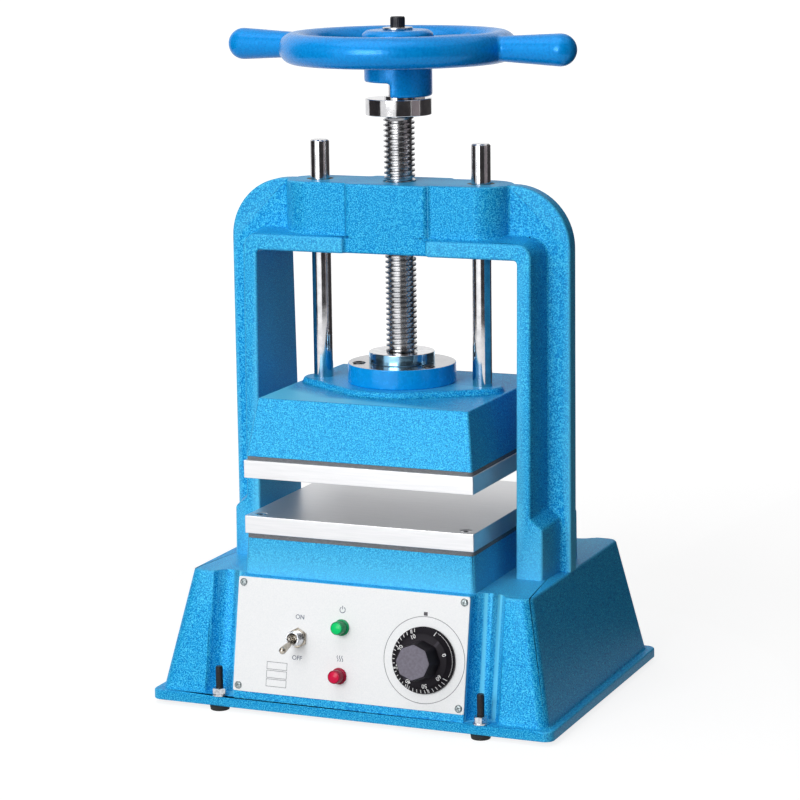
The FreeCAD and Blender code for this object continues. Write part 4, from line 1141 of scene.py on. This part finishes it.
def printed(name, text, size, u, v):
    # flat lettering of a real height, centred on a place on the panel
    curve = bpy.data.curves.new(name, "FONT")
    curve.body = text
    curve.size = size * mm * 1.38
    curve.align_x = "CENTER"
    curve.align_y = "CENTER"
    curve.extrude = 0.00002
    curve.offset = 0.00006
    obj = addObject(name + "Text", curve)
    mesh = evaluatedMesh(obj)
    bpy.data.objects.remove(obj)
    return shifted(mesh, u, v, 0.02)


def flatBox(u0, v0, u1, v1, w0=0.0, w1=0.04):
    work = bmesh.new()
    bmesh.ops.create_cube(work, size=1.0)
    for vert in work.verts:
        for axis, (low, high) in enumerate(((u0, u1), (v0, v1), (w0, w1))):
            vert.co[axis] = (low if vert.co[axis] < 0 else high) * mm
    bmesh.ops.recalc_face_normals(work, faces=work.faces)
    return meshFrom("mark", work)


def strip(points, width, w0=0.0, w1=0.04, closed=False):
    # a printed line of one width through points (u, v)
    work = bmesh.new()
    rows = []
    n = len(points)
    for k in range(n):
        a = Vector(points[(k - 1) % n] if closed or k > 0 else points[k])
        b = Vector(points[(k + 1) % n] if closed or k < n - 1 else points[k])
        along = (b - a).normalized()
        side = Vector((-along.y, along.x)) * width / 2
        u, v = points[k]
        rows.append([work.verts.new(((u + s * side.x) * mm, (v + s * side.y) * mm, w * mm))
                     for s, w in ((1, w0), (1, w1), (-1, w1), (-1, w0))])
    pairs = list(zip(rows, rows[1:])) + ([(rows[-1], rows[0])] if closed else [])
    for a, b in pairs:
        for k in range(4):
            work.faces.new((a[k], a[(k + 1) % 4], b[(k + 1) % 4], b[k]))
    if not closed:
        work.faces.new(rows[0][::-1])
        work.faces.new(rows[-1])
    bmesh.ops.recalc_face_normals(work, faces=work.faces)
    return meshFrom("line", work)


def polar(radius, degrees, u=0.0, v=0.0):
    return u + radius * math.cos(math.radians(degrees)), v + radius * math.sin(math.radians(degrees))


def arcPoints(u, v, r, first, last, count):
    return [polar(r, first + (last - first) * k / count, u, v) for k in range(count + 1)]


def boxOutline(u0, v0, u1, v1, line):
    return [flatBox(u0, v0, u1, v0 + line), flatBox(u0, v1 - line, u1, v1),
            flatBox(u0, v0 + line, u0 + line, v1 - line), flatBox(u1 - line, v0 + line, u1, v1 - line)]


def onPanel(name, meshes, finish, body="frame", nodes=()):
    addPiece(name, moved(joinMeshes(name, meshes), panelMatrix), body, nodes, finish)


def buildPanel(p):
    softPiece("panel_plate", "control_panel", p["edge"],
              lambda q, edge: 1.0 if edge.calc_length() > 0.02 or abs(q.x) > 97 else 0.0, "frame",
              "panelWhite", 2)
    u = p["halfWidth"] - p["screwInset"]
    v = p["halfHeight"] - p["screwInset"]
    spots = [(su * u, sv * v, 0.0) for su in (-1, 1) for sv in (-1, 1)]
    scatter("panel_cross_screws", crossScrew(*p["screw"]), spots, "dullZinc", 11, "frame",
            "panel_screws", panelMatrix)
    words = []
    for name, text in (("onWord", "ON"), ("offWord", "OFF")):
        wordU, wordV = p[name]
        words.append(printed(name, text, p["wordHeight"], p["toggle"][0] + wordU, wordV))
    onPanel("switch_words", words, "printBlue")
    du, dv = p["dial"]
    ring = strip(arcPoints(du, dv, p["circle"], 0, 360, 96)[:-1], 0.55, closed=True)
    onPanel("dial_circle", [ring], "printGrey")
    markU, markLow, markHigh = p["pointer"]
    onPanel("dial_pointer_mark", [strip([(markU, markLow), (markU, markHigh)], 3.2)], "printBlack")
    boxes = []
    left, right, first = p["boxes"]
    for k in range(3):
        top = first - p["boxPitch"] * k
        boxes += boxOutline(left, top - p["boxHeight"], right, top, p["boxLine"])
    onPanel("blank_rating_boxes", boxes, "printGrey")
    gu, gv = p["green"]
    ru, rv = p["red"]
    symbols = [strip(arcPoints(gu, gv + 14.0, 2.3, 120, 420, 28), 0.6),
               flatBox(gu - 0.3, gv + 14.4, gu + 0.3, gv + 17.2)]
    for k in (-1, 0, 1):
        line = [(ru + 2.0 * k + 0.55 * math.sin(t * math.pi / 5), rv + 11.6 + 0.46 * t) for t in range(11)]
        symbols.append(strip(line, 0.55))
    onPanel("lamp_symbols", symbols, "printBlue")


switch = {
    "case": (7.0, 14.0, -22.0, -1.5),      # half width, half height, back, front
    "terminalPitch": 9.5,
    "neckTop": 11.4,
    "nut": (14.3, 2.2, 5.95),              # across flats, height, bore
    "pivot": 5.0,
    "ball": 3.3,
    "tip": 2.9,
    "tipAt": 24.5,
    "pin": (0.8, 4.3),
    "tilt": 19.0,
}


def buildSwitch(p, s):
    tu, tv = p["toggle"]
    x, y, back, front = s["case"]
    case = [flatBox(tu - x, tv - y, tu + x, tv + y, back, front)]
    for k in (-1, 0, 1):
        v = tv + s["terminalPitch"] * k
        case.append(flatBox(tu - 2.4, v - 0.4, tu + 2.4, v + 0.4, back + 0.1, back + 1.0))
    top = s["neckTop"]
    neck = [(4.6, top), (2.7, 5.2), (2.6, 2.2), (4.9, 2.0), (4.9, -1.5), (5.9, -1.5), (5.9, 2.2)]
    for k in range(9):
        neck += [(5.5, 2.5 + k), (5.5, 2.65 + k), (5.9, 2.95 + k), (5.9, 3.15 + k)]
    neck[-1] = (5.6, top)
    case.append(shifted(spun("neck", neck, 56, loop=True, degrees=20), tu, tv))
    onPanel("switch_case", case, "brightZinc", nodes=["switch_body"])
    nut = shifted(hexNut(*s["nut"], 60), tu, tv)
    onPanel("switch_hex_nut", [nut], "nickelPlate", nodes=["switch_nut"])
    ball = [polar(s["ball"], d) for d in range(-75, 61, 15)]
    tip = [polar(s["tip"], d, 0.0, s["tipAt"]) for d in range(0, 90, 15)]
    bat = spun("leverBall", [(0, -s["ball"]), *ball, (1.65, 3.0), (1.75, 4.0), (2.2, 13.0), (2.8, 22.0), *tip,
                             (0, s["tipAt"] + s["tip"])], 40)
    pinRadius, reach = s["pin"]
    pin = spun("leverPin", [(0, -reach), (pinRadius, -reach), (pinRadius, reach), (0, reach)], 20)
    moved(pin, Matrix.Rotation(math.pi / 2, 4, "Y"))
    lever = moved(joinMeshes("toggle_bat", [bat, pin]), Matrix.Rotation(math.radians(s["tilt"]), 4, "X"))
    moved(shifted(lever, tu, tv, s["pivot"]), panelMatrix)
    addPiece("toggle_bat", lever, "toggle", ["toggle_lever"], "nickelPlate")


def buildLamps(p):
    for hue in ("Green", "Red"):
        small = hue.lower()
        u, v = p[small]
        barrel = knurled(5.4, 30, 0.16)
        rings = [(0, 0.1), (5.3, 0.1), (5.35, 1.5), (barrel, 2.0), (barrel, 9.6), (5.2, 10.2), (4.7, 10.75),
                 (4.3, 10.8), (4.1, 10.6), (3.0, 11.0), (1.5, 11.3), (0, 11.38)]
        lens = spun(small + "_lamp", rings, 120, degrees=30)
        twoFinishes(lens, "lens" + hue, "core" + hue,
                    lambda face: face.center.z > 0.0105 and math.hypot(face.center.x, face.center.y) < 0.0043)
        onPanel(small + "_lamp", [shifted(lens, u, v)], None, nodes=[small + "_lens"])
        profile = [(5.45, 0), (6.6, 0), (6.55, 0.8), (6.3, 1.35), (5.9, 1.6), (5.45, 1.6)]
        flange = shifted(spun("lampFlange", profile, 64, loop=True), u, v)
        onPanel(small + "_lamp_flange", [flange], "lens" + hue, nodes=["lamp_bezels"])


dial = {
    "bore": 3.02,
    "outer": (26.1, 2.75),      # radius and height of the slope's two ends
    "inner": (21.3, 6.0),
    "skirtTop": 6.2,
    "tickEnd": 25.7,
    "tickFirst": -33.0,
    "ticks": (                  # count, sweep, length, width
        ("smallTicks", 28, -218.0, 2.7, 0.50),
        ("longTicks", 6, -212.5, 3.5, 0.60),
    ),
    "index": (22.1, 25.4, 65.8),
    "arc": (25.0, -26.0, 62.0),
    "digitHeight": 3.3,
    "digits": (("0", 18, 19.6), ("60", -38, 19.2), ("50", -79, 19.8), ("40", -120, 19.8), ("30", -162, 19.8),
               ("20", -205, 19.8), ("10", -246, 19.6)),
    "knobTop": 24.3,
}


def buildDial(p, d):
    du, dv = p["dial"]
    bore, low = d["bore"], d["skirtTop"]
    rings = [(bore, 0.6), (25.9, 0.6), (26.3, 1.0), (26.3, 2.3), d["outer"], d["inner"], (20.8, low), (bore, low)]
    skirt = shifted(spun("skirt", rings, 128, loop=True, degrees=25), du, dv)
    onPanel("dial_plate", [skirt], "dialBlack", "dial", ["dial_skirt"])
    (outR, outZ), (inR, inZ) = d["outer"], d["inner"]
    slope = math.atan2(inZ - outZ, outR - inR)
    marks = []
    for name, count, sweep, length, width in d["ticks"]:
        row = runTree(name, ticks, {
            "Count": count, "Radius": (d["tickEnd"] - length / 2) * mm, "First": math.radians(d["tickFirst"]),
            "Sweep": math.radians(sweep), "Length": length * mm, "Width": width * mm,
            "Material": paint["dialWhite"]})
        marks.append(row.data)
        bpy.data.objects.remove(row)
    near, far, turn = d["index"]
    marks.append(strip([polar(near, turn), polar(far, turn)], 0.6, -0.05, 0.05))
    radius, first, last = d["arc"]
    marks.append(strip(arcPoints(0, 0, radius, first, last, 22), 0.22, -0.05, 0.05))
    for mesh in marks:
        for vert in mesh.vertices:
            r = math.hypot(vert.co.x, vert.co.y) / mm
            vert.co.z += (outZ + (outR - r) * math.tan(slope) + 0.02) * mm
    z = outZ + (outR - inR) * math.tan(slope) + 0.25
    for text, degrees, r in d["digits"]:
        word = printed("digit" + text, text, d["digitHeight"], 0, 0)
        moved(word, Matrix.Rotation(math.radians(degrees - 90), 4, "Z"))
        marks.append(shifted(word, *polar(r, degrees), z))
    whole = moved(shifted(joinMeshes("dial_marks", marks), du, dv), panelMatrix)
    addPiece("dial_marks", whole, "dial", (), "dialWhite")
    top = d["knobTop"]

    def octagon(flat, corner):
        return polygonRadius(8, flat, 0, corner)
    rings = [(0, 19.0), (bore, 19.0), (bore, low), (octagon(15.0, 15.9), low + 0.4), (octagon(14.9, 15.9), low + 1.2),
             (octagon(13.5, 14.4), top - 0.9), (octagon(13.2, 14.1), top - 0.45), (0, top - 0.45)]
    grip = shifted(spun("knob", rings, 96, degrees=28), du, dv)
    onPanel("knob_body", [grip], "dialBlack", "dial", ["knob_grip"])
    rim = octagon(12.9, 13.8)
    rings = [(0, top - 0.5), (rim, top - 0.5), (rim, top - 0.2), (octagon(12.6, 13.5), top), (0, top)]
    onPanel("knob_face", [shifted(spun("face", rings, 96, degrees=20), du, dv)], "knobGrey", "dial")


buildPanel(panel)
buildSwitch(panel, switch)
buildLamps(panel)
buildDial(panel, dial)
print("stage: panel")


# everything still shown from the CAD model gets its own finish

carried = {
    "zincSheet": ("bottom_cover", "thermostat_body"),
    "brightZinc": ("cover_screws", "lower_housing_bolts", "arch_bolts", "arch_bolt_washers"),
    "dialBlack": ("lamp_bodies", "terminal_block"),
    "drawnCopper": ("thermostat_bulb",),
    "turnedSteel": ("dial_shaft", "thrust_washer", "collar_pin"),
    "mouldedRubber": ("inlet_gland", "deck_grommet", "housing_grommet"),
    "mineralBoard": ("lower_insulation", "upper_insulation"),
    "castHeater": ("lower_heater", "upper_heater"),
    "heatBoard": ("lower_gasket", "upper_gasket"),
    "bronze": ("screw_nut",),
    "oiledBronze": ("guide_bushing_left", "guide_bushing_right"),
}
for finish, nodes in carried.items():
    for node in nodes:
        for slotHolder in cad[node].material_slots:
            slotHolder.material = paint[finish]
print("stage: carried nodes,", sum(len(nodes) for nodes in carried.values()))

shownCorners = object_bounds()
for corners in (cadCorners, shownCorners):
    print("size", [round((b - a) / mm, 2) for a, b in zip(*corners)])
